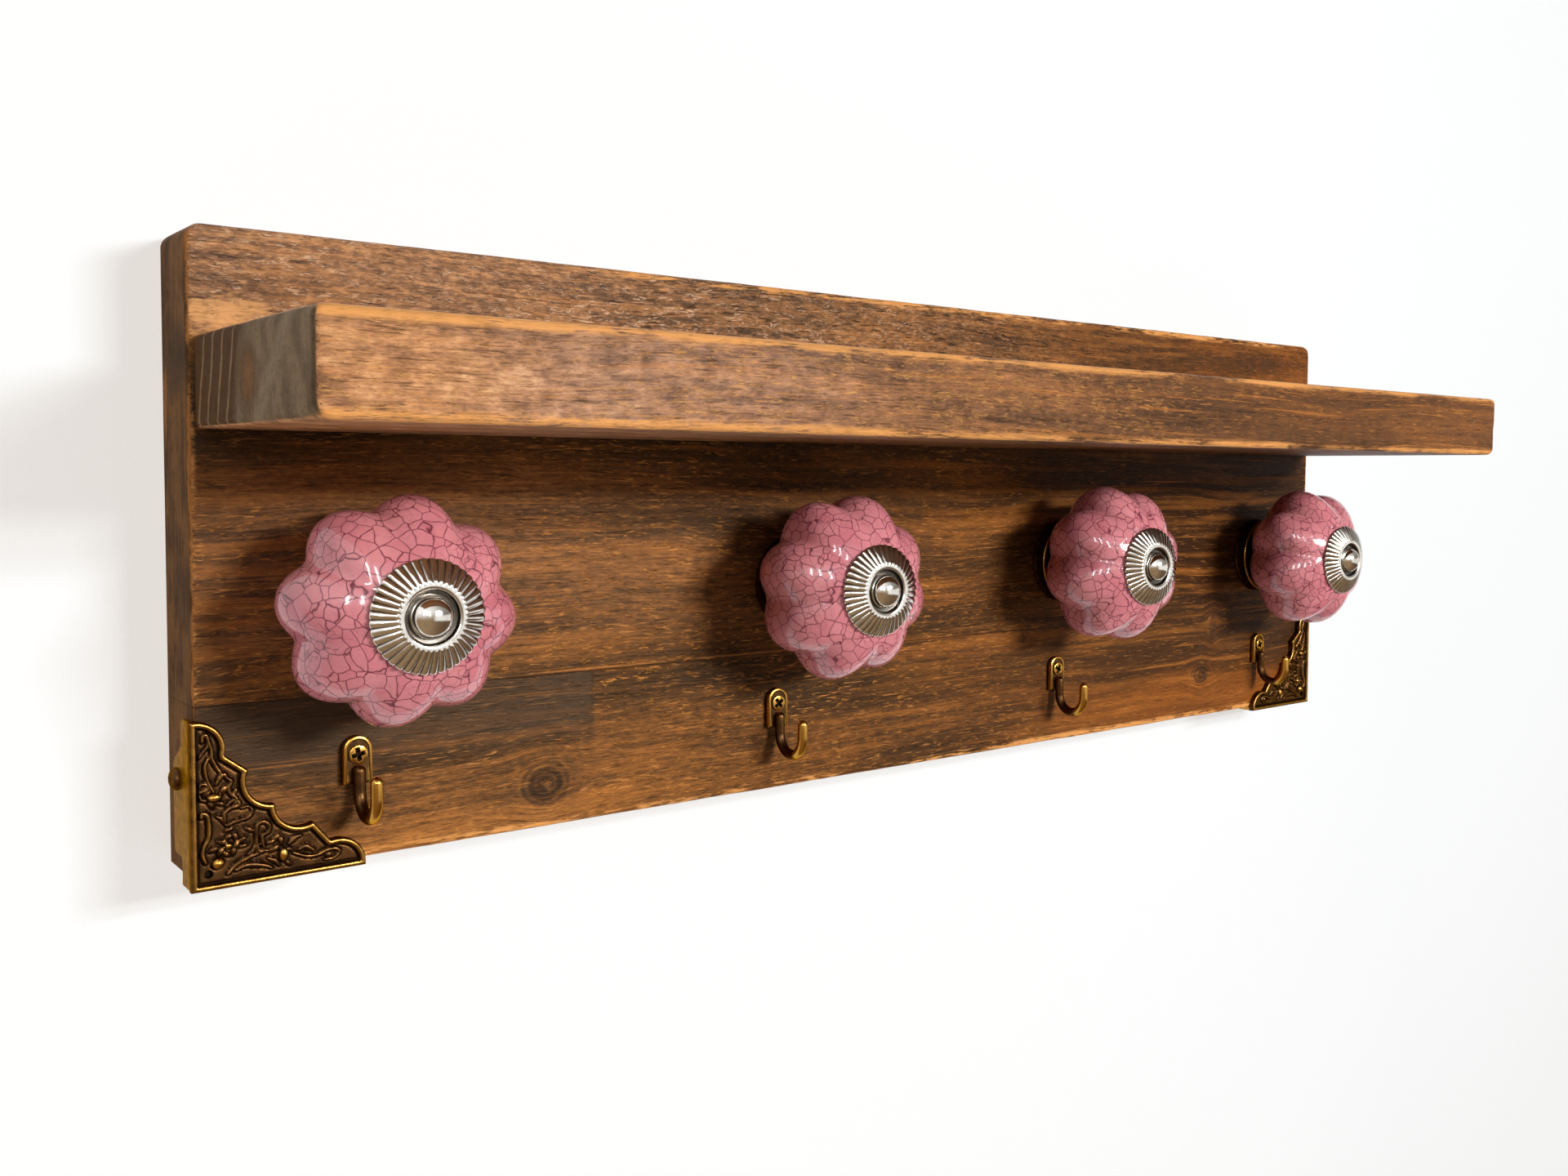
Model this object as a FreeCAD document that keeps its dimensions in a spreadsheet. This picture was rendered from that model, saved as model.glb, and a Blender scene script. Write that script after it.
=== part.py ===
"""Key holder shelf: a pine back board and shelf with ceramic knobs, key hooks and corner brackets.

Millimetres. X runs along the board, Y into the wall, Z up. The rear face of the board is the plane y = 0
and the middle of that face is the origin.
"""
import FreeCAD, Part
import Sketcher
import math
import os

V = FreeCAD.Vector
doc = FreeCAD.newDocument("key_holder_shelf")

SIZES = (
    # boards
    ("board_length", 370.0),
    ("board_height", 127.4),
    ("board_thick", 22.0),
    ("board_front_round", 0.9),
    ("board_rear_round", 3.0),
    ("board_corner_round", 3.0),
    ("shelf_inset", 1.1),
    ("shelf_depth", 70.5),
    ("shelf_thick", 18.0),
    ("shelf_round", 1.4),
    # screws from the rear of the board into the shelf
    ("shelf_screw_radius", 2.0),
    ("shelf_screw_head", 4.0),
    ("shelf_screw_head_high", 2.3),
    ("shelf_screw_long", 50.0),
    ("shelf_screw_tip", 5.0),
    ("shelf_screw_sunk", 0.6),
    ("shelf_screw_end", 20.0),
    # the outer knobs from the ends of the board
    ("knob_end_left", 32.5),
    ("knob_end_right", 30.3),
    # ceramic
    ("knob_radius", 23.1),
    ("knob_half_long", 15.7),
    ("knob_middle", 20.5),
    ("knob_seat_radius", 6.5),
    ("knob_land_radius", 6.8),
    ("turning_clearance", 0.08),
    # rosette
    ("rosette_radius", 11.05),
    ("rosette_lip", 0.4),
    ("rosette_edge", 0.5),
    ("rosette_edge_gap", 0.38),
    ("rosette_high", 2.0),
    ("rosette_ring_radius", 6.8),
    ("rosette_well_radius", 5.2),
    ("rosette_floor", 0.7),
    # bolt, washer and nut
    ("bolt_radius", 2.0),
    ("bolt_clearance", 0.25),
    ("bolt_head_radius", 4.2),
    ("bolt_head_edge", 0.8),
    ("bolt_dome_radius", 3.9),
    ("bolt_dome_high", 2.7),
    ("bolt_past_nut", 1.4),
    ("rear_pocket_radius", 8.0),
    ("rear_pocket_deep", 8.0),
    ("washer_radius", 6.0),
    ("washer_thick", 1.0),
    ("nut_corner_radius", 4.04),
    ("nut_thick", 3.2),
    # collar
    ("collar_radius", 12.3),
    ("collar_wall", 1.0),
    ("collar_base", 1.2),
    ("collar_high", 4.2),
    ("collar_bead", 0.5),
    # key hooks
    ("hook_end_left", 30.6),
    ("hook_end_right", 29.1),
    ("hook_plate_wide", 5.9),
    ("hook_plate_below", 6.1),
    ("hook_plate_above", 0.9),
    ("hook_plate_thick", 1.7),
    ("hook_wire_radius", 1.25),
    ("hook_shank_out", 2.4),
    ("hook_shank_top", 3.4),
    ("hook_bend_radius", 4.9),
    ("hook_bend_below", 7.4),
    ("hook_tip_rise", 3.2),
    ("hook_screw_radius", 1.1),
    ("hook_screw_head", 1.9),
    ("hook_screw_head_high", 1.1),
    ("hook_screw_proud", 0.3),
    ("hook_screw_long", 13.0),
    ("hook_screw_tip", 2.5),
    ("cross_wide", 0.55),
    ("cross_long", 2.6),
    ("cross_deep", 0.6),
    # corner brackets
    ("bracket_sheet", 1.1),
    ("bracket_rim_high", 0.8),
    ("bracket_rim_wide", 1.0),
    ("bracket_leg", 32.0),
    ("bracket_lobe_radius", 5.6),
    ("bracket_lobe_shift", 0.4),
    ("bracket_lobe_end", 5.2),
    ("bracket_lobe_foot", 25.0),
    ("bracket_step_in", 9.5),
    ("bracket_step_out", 21.6),
    ("bracket_cusp", 14.3),
    ("bracket_bite_radius", 5.1),
    ("flange_neck", 5.5),
    ("flange_wide", 11.5),
    ("flange_start", 4.5),
    ("flange_full", 22.5),
    ("flange_slope", 26.5),
    ("nail_hole_radius", 0.75),
    ("nail_hole_in", 2.1),
    ("bracket_screw_along", 19.5),
    ("bracket_screw_in", 9.0),
    ("bracket_screw_radius", 1.1),
    ("bracket_screw_head", 2.3),
    ("bracket_screw_head_high", 1.4),
    ("bracket_screw_long", 11.0),
    ("bracket_screw_tip", 2.5),
    # keyhole hangers in the rear
    ("hanger_end", 45.0),
    ("hanger_top_gap", 3.7),
    ("hanger_wide", 18.0),
    ("hanger_high", 40.0),
    ("hanger_thick", 1.6),
    ("hanger_entry_radius", 4.5),
    ("hanger_neck_radius", 2.25),
    ("hanger_neck_rise", 9.0),
    ("hanger_room_deep", 7.0),
    ("hanger_room_margin", 1.2),
    ("hanger_entry_drop", 4.0),
    ("hanger_screw_end", 4.6),
    ("hanger_screw_radius", 1.3),
    ("hanger_screw_head", 2.6),
    ("hanger_screw_head_high", 1.3),
    ("hanger_screw_long", 13.0),
    ("hanger_screw_tip", 2.5),
)

# places between the outer knobs and the outer hooks, and levels up the board's height
KNOB_PLACE_SHARES = {"one": 0.0, "two": 0.3568, "three": 0.6803, "four": 1.0}
KNOB_LEVEL_SHARES = {"one": 0.4176, "two": 0.4144, "three": 0.4309, "four": 0.4199}
HOOK_PLACE_SHARES = {"one": 0.0, "two": 0.3397, "three": 0.6716, "four": 1.0}
HOOK_LEVEL_SHARE = 0.1735
SHELF_DROP_SHARE = 0.1664
# the inner screws of the shelf, between the middle and the outer ones
SCREW_PLACE_SHARE = 0.3333
# turning of each knob about its bolt, in degrees
KNOB_TURNS = {"one": 8.0, "two": 15.0, "three": 30.0, "four": 29.0}
# shape of the ceramic: the depth of a valley and the polar angles of the sections between seat and land
VALLEY_SHARE = 0.13
VALLEY_POWER_SHARE = 1.35
FADE_POWER_SHARE = 0.8
SECTION_SHARES = (0.10, 0.22, 0.34, 0.45, 0.55, 0.66, 0.78, 0.90)
LOBES = 8
POINTS_PER_LOBE = 10
NAMES = ("one", "two", "three", "four")
# how far the inner edge of a bracket's rim draws in at the corners of the outline, per width of the rim
RIM_SHARES = {"end": 0.95, "foot": 0.35, "step_in": 1.25, "step_out": 0.55}

sheet = doc.addObject("Spreadsheet::Sheet", "sizes")
for row, (alias, number) in enumerate(SIZES, 1):
    sheet.set("A%d" % row, alias)
    sheet.set("B%d" % row, str(number))
    sheet.setAlias("B%d" % row, alias)
doc.recompute()


class Size:
    """A length of the sheet, or a sum of such lengths: its expression and its value."""

    def __init__(self, text, value):
        self.text = text
        self.value = value

    def __add__(self, other):
        return Size("(%s + %s)" % (self.text, other.text), self.value + other.value)

    def __sub__(self, other):
        return Size("(%s - %s)" % (self.text, other.text), self.value - other.value)

    def __mul__(self, number):
        return Size("(%s * %s)" % (self.text, number), self.value * number)

    def __truediv__(self, number):
        return Size("(%s / %s)" % (self.text, number), self.value / number)

    def __neg__(self):
        return Size("(-%s)" % self.text, -self.value)


def size(alias):
    return Size("sizes." + alias, float(getattr(sheet, alias)))


S = {alias: size(alias) for alias, number in SIZES}

# local z away from the wall, local y up
OUT = FreeCAD.Rotation(V(1, 0, 0), 90)
# local z into the wall
IN = FreeCAD.Rotation(V(1, 0, 0), -90)
LEFT, RIGHT = -1, 1

half_length = S["board_length"] / 2
half_height = S["board_height"] / 2
front = -S["board_thick"]


def bind(item, prop, length):
    item.setExpression(prop, length.text)


def place(item, x=None, y=None, z=None, turn=None):
    if turn is not None:
        item.Placement = FreeCAD.Placement(V(0, 0, 0), turn)
    for axis, length in (("x", x), ("y", y), ("z", z)):
        if length is not None:
            bind(item, "Placement.Base." + axis, length)
    return item


def solid(kind, name, x=None, y=None, z=None, turn=None, **lengths):
    item = doc.addObject("Part::" + kind, name)
    place(item, x, y, z, turn)
    for prop, length in lengths.items():
        bind(item, prop, length)
    return item


def group(name, items):
    item = doc.addObject("Part::Compound", name)
    item.Links = items
    return item


def fuse(name, items):
    item = doc.addObject("Part::MultiFuse", name)
    item.Shapes = items
    item.Refine = True
    return item


def cut(name, base, tools):
    item = doc.addObject("Part::Cut", name)
    item.Base = base
    item.Tool = tools[0] if len(tools) == 1 else group(name + "_tools", tools)
    return item


def outline(sketch, points, sides):
    """Closed outline in a sketch: points as pairs of sizes, sides as None for a line or (radius, turn)."""
    count = len(points)
    flat = [V(x.value, y.value, 0) for x, y in points]
    ids = []
    for i, side in enumerate(sides):
        a, b = flat[i], flat[(i + 1) % count]
        if side is None:
            ids.append(sketch.addGeometry(Part.LineSegment(a, b), False))
            continue
        radius, turn = side
        chord = b - a
        across = V(-chord.y, chord.x, 0).normalize()
        reach = math.sqrt(max(radius.value ** 2 - (chord.Length / 2) ** 2, 0.0))
        centre = (a + b) / 2 + across * (reach * turn)
        start = math.atan2(a.y - centre.y, a.x - centre.x)
        end = math.atan2(b.y - centre.y, b.x - centre.x)
        circle = Part.Circle(centre, V(0, 0, 1), radius.value)
        ccw = turn > 0
        first, last = (start, end) if ccw else (end, start)
        ids.append(sketch.addGeometry(Part.ArcOfCircle(circle, first, last), False))
    starts = [1 if side is None or side[1] > 0 else 2 for side in sides]
    ends = [3 - s for s in starts]
    for i in range(count):
        j = (i + 1) % count
        sketch.addConstraint(Sketcher.Constraint("Coincident", ids[i], ends[i], ids[j], starts[j]))
    for i, (x, y) in enumerate(points):
        for kind, length in (("DistanceX", x), ("DistanceY", y)):
            number = sketch.addConstraint(
                Sketcher.Constraint(kind, -1, 1, ids[i], starts[i], length.value))
            sketch.setExpression("Constraints[%d]" % number, length.text)
    for i, side in enumerate(sides):
        if side is not None:
            number = sketch.addConstraint(Sketcher.Constraint("Radius", ids[i], side[0].value))
            sketch.setExpression("Constraints[%d]" % number, side[0].text)


def plank(name, x0, x1, z0, z1, y_front, y_rear, rounds):
    """A board: the outline in the front plane drawn out to its thickness, then its rounded edges."""
    body = doc.addObject("PartDesign::Body", name)
    plane = [f for f in body.Origin.OriginFeatures if f.Role == "XZ_Plane"][0]
    sketch = body.newObject("Sketcher::SketchObject", name + "_outline")
    sketch.AttachmentSupport = [(plane, "")]
    sketch.MapMode = "FlatFace"
    bind(sketch, "AttachmentOffset.Base.z", -y_rear)
    outline(sketch, [(x0, z0), (x1, z0), (x1, z1), (x0, z1)], [None] * 4)
    pad = body.newObject("PartDesign::Pad", name + "_pad")
    pad.Profile = sketch
    bind(pad, "Length", y_rear - y_front)
    doc.recompute()
    last = pad
    for number, (choose, radius) in enumerate(rounds):
        edges = ["Edge%d" % (i + 1) for i, e in enumerate(last.Shape.Edges) if choose(e)]
        fillet = body.newObject("PartDesign::Fillet", "%s_round_%d" % (name, number))
        fillet.Base = (last, edges)
        bind(fillet, "Radius", radius)
        doc.recompute()
        last = fillet
    body.Tip = last
    return body


def edge_ends(edge):
    return [v.Point for v in edge.Vertexes]


def near(a, b):
    return abs(a - b) < 1e-4


def on_plane(axis, length):
    def choose(edge):
        return all(near(getattr(p, axis), length.value) for p in edge_ends(edge))
    return choose


def along_y_at(level):
    def choose(edge):
        a, b = edge_ends(edge)
        return near(a.x, b.x) and near(a.z, b.z) and near(a.z, level.value)
    return choose


def along_x_on(y):
    def choose(edge):
        a, b = edge_ends(edge)
        return near(a.y, y.value) and near(b.y, y.value) and near(a.z, b.z) and edge.Length > half_length.value
    return choose


def wood_screw(name, radius, head, head_high, long, tip):
    """Flat head screw: the top of the head at local z = 0, the point towards minus z."""
    return fuse(name, [
        solid("Cone", name + "_head", z=-head_high, Radius1=radius, Radius2=head, Height=head_high),
        solid("Cylinder", name + "_shank", z=tip - long, Radius=radius, Height=long - head_high - tip),
        solid("Cone", name + "_tip", z=-long, Radius1=radius / 5, Radius2=radius, Height=tip),
    ])


def round_screw(name, radius, head, head_high, long, tip):
    """Round head screw: the underside of the head at local z = 0."""
    dome = solid("Ellipsoid", name + "_head", Radius1=head_high, Radius2=head, Radius3=head)
    dome.Angle1 = 0
    return fuse(name, [
        dome,
        solid("Cylinder", name + "_shank", z=tip - long, Radius=radius, Height=long - tip),
        solid("Cone", name + "_tip", z=-long, Radius1=radius / 5, Radius2=radius, Height=tip),
    ])


def cross_cut(name, screw, top):
    """The screw with a cross recess in the top of its head."""
    wide, long, deep = S["cross_wide"], S["cross_long"], S["cross_deep"]
    bars = [
        solid("Box", name + "_bar", x=-long / 2, y=-wide / 2, z=top - deep,
              Length=long, Width=wide, Height=deep * 2),
        solid("Box", name + "_bar_across", x=-wide / 2, y=-long / 2, z=top - deep,
              Length=wide, Width=long, Height=deep * 2),
    ]
    return cut(name, screw, [fuse(name + "_cross", bars)])


nodes = {}


def node(item, name):
    item.Label = name
    nodes[name] = item
    return item


# screws that hold the shelf, heads in the rear of the board
shelf_top = half_height - S["board_height"] * SHELF_DROP_SHARE
shelf_bottom = shelf_top - S["shelf_thick"]
shelf_middle = shelf_top - S["shelf_thick"] / 2
screw_outer = half_length - S["shelf_screw_end"]
screw_inner = screw_outer * SCREW_PLACE_SHARE
shelf_screws = []
for number, x in enumerate((-screw_outer, -screw_inner, screw_inner, screw_outer)):
    screw = wood_screw("shelf_screw_%d" % number, S["shelf_screw_radius"], S["shelf_screw_head"],
                       S["shelf_screw_head_high"], S["shelf_screw_long"], S["shelf_screw_tip"])
    shelf_screws.append(place(screw, x, -S["shelf_screw_sunk"], shelf_middle, IN))
node(group("shelf_screws", shelf_screws), "shelf_screws")

shelf_sinks = [
    solid("Cylinder", "shelf_sink_%d" % number, x=x, y=-S["shelf_screw_sunk"], z=shelf_middle, turn=IN,
          Radius=S["shelf_screw_head"], Height=S["shelf_screw_sunk"] * 2)
    for number, x in enumerate((-screw_outer, -screw_inner, screw_inner, screw_outer))
]

# the shelf
shelf_end = half_length - S["shelf_inset"]
shelf_front = front - S["shelf_depth"]
shelf_blank = plank("shelf_blank", -shelf_end, shelf_end, shelf_bottom, shelf_top, shelf_front, front, [
    (lambda e: not all(near(p.y, front.value) for p in edge_ends(e)), S["shelf_round"]),
])
node(cut("shelf_board", shelf_blank, [nodes["shelf_screws"]]), "shelf_board")

# knobs
rear_seat = S["knob_middle"] - S["knob_half_long"] * math.cos(math.asin(
    S["knob_seat_radius"].value / S["knob_radius"].value))
land = S["knob_middle"] + S["knob_half_long"] * math.cos(math.asin(
    S["knob_land_radius"].value / S["knob_radius"].value))
pocket_floor = S["rear_pocket_deep"] - S["board_thick"]
washer_rear = pocket_floor - S["washer_thick"]
nut_rear = washer_rear - S["nut_thick"]
bolt_rear = nut_rear - S["bolt_past_nut"]
rosette_floor = land + S["rosette_floor"]


def melon():
    """The lobed ceramic body about local z, from its rear seat to its front land, with its bore."""
    radius = S["knob_radius"].value
    half = S["knob_half_long"].value
    first = math.asin(S["knob_seat_radius"].value / radius)
    last = math.pi - math.asin(S["knob_land_radius"].value / radius)
    wires = []
    for share in (0.0,) + SECTION_SHARES + (1.0,):
        polar = first + (last - first) * share
        level = S["knob_middle"].value - half * math.cos(polar)
        fade = math.sin(math.pi * share) ** FADE_POWER_SHARE if 0.0 < share < 1.0 else 0.0
        points = []
        for i in range(LOBES * POINTS_PER_LOBE):
            angle = 2 * math.pi * i / (LOBES * POINTS_PER_LOBE)
            dip = ((1 - math.cos(LOBES * angle)) / 2) ** VALLEY_POWER_SHARE
            reach = radius * math.sin(polar) * (1 - VALLEY_SHARE * fade * dip)
            points.append(V(reach * math.sin(angle), reach * math.cos(angle), level))
        curve = Part.BSplineCurve()
        curve.interpolate(points, PeriodicFlag=True)
        wires.append(Part.Wire(curve.toShape()))
    form = Part.makeLoft(wires, True, False)
    bore = Part.makeCylinder(S["bolt_radius"].value + S["turning_clearance"].value, 4 * half)
    return form.cut(bore)


melon_shape = melon()
knob_span = S["board_length"] - S["knob_end_left"] - S["knob_end_right"]
bolts, washers, nuts, pockets, bolt_holes = [], [], [], [], []
for number, name in enumerate(NAMES, 1):
    spot = (S["knob_end_left"] - half_length + knob_span * KNOB_PLACE_SHARES[name], front,
            S["board_height"] * KNOB_LEVEL_SHARES[name] - half_height)

    knob = doc.addObject("Part::Feature", "knob_body_%d" % number)
    knob.Shape = melon_shape
    knob.Placement = FreeCAD.Placement(
        V(0, 0, 0), OUT.multiply(FreeCAD.Rotation(V(0, 0, 1), -KNOB_TURNS[name])))
    place(knob, *spot)
    node(knob, "knob_body_%d" % number)

    tag = "_%d" % number
    edge_low = land - (S["knob_half_long"] * (math.cos(math.asin(
        S["knob_land_radius"].value / S["knob_radius"].value)) - math.cos(math.asin(
            S["rosette_radius"].value / S["knob_radius"].value)))) + S["rosette_edge_gap"]
    edge_top = edge_low + S["rosette_edge"]
    cap_top = land + S["rosette_high"]
    cap = fuse("rosette_cap" + tag, [
        solid("Cylinder", "rosette_rim" + tag, z=edge_low, Radius=S["rosette_radius"], Height=S["rosette_edge"]),
        solid("Cone", "rosette_slope" + tag, z=edge_top, Radius1=S["rosette_radius"],
              Radius2=S["rosette_ring_radius"], Height=cap_top - edge_top),
    ])
    under = solid("Cone", "rosette_under" + tag, z=edge_low,
                  Radius1=S["rosette_radius"] - S["rosette_lip"], Radius2=S["knob_land_radius"],
                  Height=land - edge_low)
    well = solid("Cylinder", "rosette_well" + tag, z=rosette_floor, Radius=S["rosette_well_radius"],
                 Height=S["rosette_high"])
    hole = solid("Cylinder", "rosette_hole" + tag, z=rear_seat,
                 Radius=S["bolt_radius"] + S["turning_clearance"], Height=land)
    rosette = cut("knob_rosette" + tag, cut("rosette_dished" + tag, cap, [under]),
                  [fuse("rosette_opening" + tag, [well, hole])])
    node(place(rosette, *spot, turn=OUT), "knob_rosette" + tag)

    dome = solid("Ellipsoid", "bolt_dome" + tag, z=rosette_floor + S["bolt_head_edge"],
                 Radius1=S["bolt_dome_high"], Radius2=S["bolt_dome_radius"], Radius3=S["bolt_dome_radius"])
    dome.Angle1 = 0
    bolt = fuse("knob_bolt" + tag, [
        solid("Cylinder", "bolt_shank" + tag, z=bolt_rear, Radius=S["bolt_radius"],
              Height=rosette_floor - bolt_rear),
        solid("Cylinder", "bolt_head" + tag, z=rosette_floor, Radius=S["bolt_head_radius"],
              Height=S["bolt_head_edge"]),
        dome,
    ])
    bolts.append(place(bolt, *spot, turn=OUT))

    washer = cut("knob_washer" + tag, solid("Cylinder", "washer_disc" + tag, z=washer_rear,
                                            Radius=S["washer_radius"], Height=S["washer_thick"]),
                 [solid("Cylinder", "washer_hole" + tag, z=nut_rear, Radius=S["bolt_radius"],
                        Height=S["nut_thick"] + S["washer_thick"])])
    washers.append(place(washer, *spot, turn=OUT))
    hexagon = solid("Prism", "nut_hexagon" + tag, z=nut_rear, Circumradius=S["nut_corner_radius"],
                    Height=S["nut_thick"])
    hexagon.Polygon = 6
    nut = cut("knob_nut" + tag, hexagon,
              [solid("Cylinder", "nut_hole" + tag, z=bolt_rear, Radius=S["bolt_radius"],
                     Height=S["nut_thick"] + S["bolt_past_nut"])])
    nuts.append(place(nut, *spot, turn=OUT))

    ring = cut("collar_ring" + tag, solid("Cylinder", "collar_outside" + tag, Radius=S["collar_radius"],
                                          Height=S["collar_high"]),
               [solid("Cylinder", "collar_inside" + tag, z=S["collar_base"],
                      Radius=S["collar_radius"] - S["collar_wall"], Height=S["collar_high"])])
    bead = solid("Torus", "collar_bead" + tag, z=S["collar_high"],
                 Radius1=S["collar_radius"] - S["collar_bead"], Radius2=S["collar_bead"])
    boss = solid("Cylinder", "collar_boss" + tag, Radius=S["knob_seat_radius"], Height=rear_seat)
    collar = cut("knob_collar" + tag, fuse("collar_cup" + tag, [ring, bead, boss]),
                 [solid("Cylinder", "collar_hole" + tag, Radius=S["bolt_radius"], Height=rear_seat)])
    node(place(collar, *spot, turn=OUT), "knob_collar" + tag)

    pockets.append(solid("Cylinder", "rear_pocket" + tag, x=spot[0], y=-S["rear_pocket_deep"], z=spot[2],
                         turn=IN, Radius=S["rear_pocket_radius"], Height=S["rear_pocket_deep"] * 2))
    bolt_holes.append(solid("Cylinder", "bolt_way" + tag, x=spot[0], y=spot[1] * 2, z=spot[2], turn=IN,
                            Radius=S["bolt_radius"] + S["bolt_clearance"],
                            Height=S["board_thick"] * 2))
node(group("knob_bolts", bolts), "knob_bolts")
node(group("knob_washers", washers), "knob_washers")
node(group("knob_nuts", nuts), "knob_nuts")

# key hooks and their screws
DOWN_BEND = FreeCAD.Rotation(V(0, 0, 1), V(0, -1, 0), V(1, 0, 0), "ZXY")
UPRIGHT = FreeCAD.Rotation(V(1, 0, 0), -90)
hook_span = S["board_length"] - S["hook_end_left"] - S["hook_end_right"]
hook_forms, hook_screws = [], []
for number, name in enumerate(NAMES, 1):
    tag = "_%d" % number
    spot = (S["hook_end_left"] - half_length + hook_span * HOOK_PLACE_SHARES[name], front,
            S["board_height"] * HOOK_LEVEL_SHARE - half_height)
    wire, out, low = S["hook_wire_radius"], S["hook_shank_out"], S["hook_bend_below"]
    tip_out = out + S["hook_bend_radius"] * 2
    bend = solid("Torus", "hook_bend" + tag, y=-low, z=out + S["hook_bend_radius"], turn=DOWN_BEND,
                 Radius1=S["hook_bend_radius"], Radius2=wire)
    bend.Angle3 = 180
    casting = fuse("hook_casting" + tag, [
        solid("Box", "hook_plate" + tag, x=-S["hook_plate_wide"] / 2, y=-S["hook_plate_below"],
              Length=S["hook_plate_wide"], Width=S["hook_plate_below"] + S["hook_plate_above"],
              Height=S["hook_plate_thick"]),
        solid("Cylinder", "hook_plate_top" + tag, y=S["hook_plate_above"], Radius=S["hook_plate_wide"] / 2,
              Height=S["hook_plate_thick"]),
        solid("Cylinder", "hook_shank" + tag, y=-S["hook_shank_top"], z=out, turn=OUT,
              Radius=wire, Height=low - S["hook_shank_top"]),
        solid("Sphere", "hook_shank_end" + tag, y=-S["hook_shank_top"], z=out, Radius=wire),
        bend,
        solid("Cylinder", "hook_tip" + tag, y=-low, z=tip_out, turn=UPRIGHT, Radius=wire,
              Height=S["hook_tip_rise"]),
        solid("Sphere", "hook_tip_end" + tag, y=S["hook_tip_rise"] - low, z=tip_out, Radius=wire),
    ])
    form = wood_screw("hook_screw_form" + tag, S["hook_screw_radius"], S["hook_screw_head"],
                      S["hook_screw_head_high"], S["hook_screw_long"], S["hook_screw_tip"])
    place(form, z=S["hook_plate_thick"] + S["hook_screw_proud"])
    way = wood_screw("hook_screw_way" + tag, S["hook_screw_radius"], S["hook_screw_head"],
                     S["hook_screw_head_high"], S["hook_screw_long"], S["hook_screw_tip"])
    place(way, z=S["hook_plate_thick"] + S["hook_screw_proud"])
    node(place(cut("key_hook" + tag, casting, [way]), *spot, turn=OUT), "key_hook" + tag)
    screw = cross_cut("hook_screw" + tag, form, S["hook_plate_thick"] + S["hook_screw_proud"])
    hook_screws.append(place(screw, *spot, turn=OUT))
    bed = wood_screw("hook_screw_bed" + tag, S["hook_screw_radius"], S["hook_screw_head"],
                     S["hook_screw_head_high"], S["hook_screw_long"], S["hook_screw_tip"])
    hook_forms.append(place(bed, spot[0], front - S["hook_plate_thick"] - S["hook_screw_proud"], spot[2], OUT))
node(group("hook_screws", hook_screws), "hook_screws")


# corner brackets
def flat_plate(name, points, sides, thick, x=None, y=None, z=None, turn=None):
    """A plate drawn out along the normal of its outline."""
    sketch = doc.addObject("Sketcher::SketchObject", name + "_outline")
    place(sketch, x, y, z, turn)
    outline(sketch, points, sides)
    plate = doc.addObject("Part::Extrusion", name)
    plate.Base = sketch
    plate.DirMode = "Normal"
    plate.Solid = True
    bind(plate, "LengthFwd", thick)
    return plate


def scalloped(sheet_out, inset):
    """Outline of the bracket's face from the board's corner: its points and sides, drawn in by the inset."""
    low = inset - sheet_out
    leg = S["bracket_leg"] - inset
    lobe = S["bracket_lobe_radius"] - inset
    bite = S["bracket_bite_radius"] + inset
    cusp = S["bracket_cusp"] - inset
    end = S["bracket_lobe_end"] - inset * RIM_SHARES["end"]
    foot = S["bracket_lobe_foot"] - inset * RIM_SHARES["foot"]
    step_in = S["bracket_step_in"] - inset * RIM_SHARES["step_in"]
    step_out = S["bracket_step_out"] - inset * RIM_SHARES["step_out"]
    shift = -S["bracket_lobe_shift"]
    points = [(low, low), (leg, low), (leg, shift), (foot, end), (step_out, step_in), (cusp, cusp),
              (step_in, step_out), (end, foot), (shift, leg), (low, leg)]
    sides = [None, None, (lobe, 1), None, (bite, -1), (bite, -1), None, (lobe, 1), None, None]
    return points, sides


def flange_outline():
    """Outline of a flange: along the leg, then in from the face."""
    none = S["bracket_sheet"] * 0
    leg = S["bracket_leg"]
    neck, wide = S["flange_neck"], S["flange_wide"]
    points = [(-S["bracket_sheet"], none), (leg, none), (leg, neck), (S["flange_slope"], neck),
              (S["flange_full"], wide), (S["flange_start"], wide), (S["flange_start"], neck),
              (-S["bracket_sheet"], neck)]
    return points, [None] * len(points)


def mirrored(points, sides):
    return [(-x, y) for x, y in points], [None if s is None else (s[0], -s[1]) for s in sides]


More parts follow.
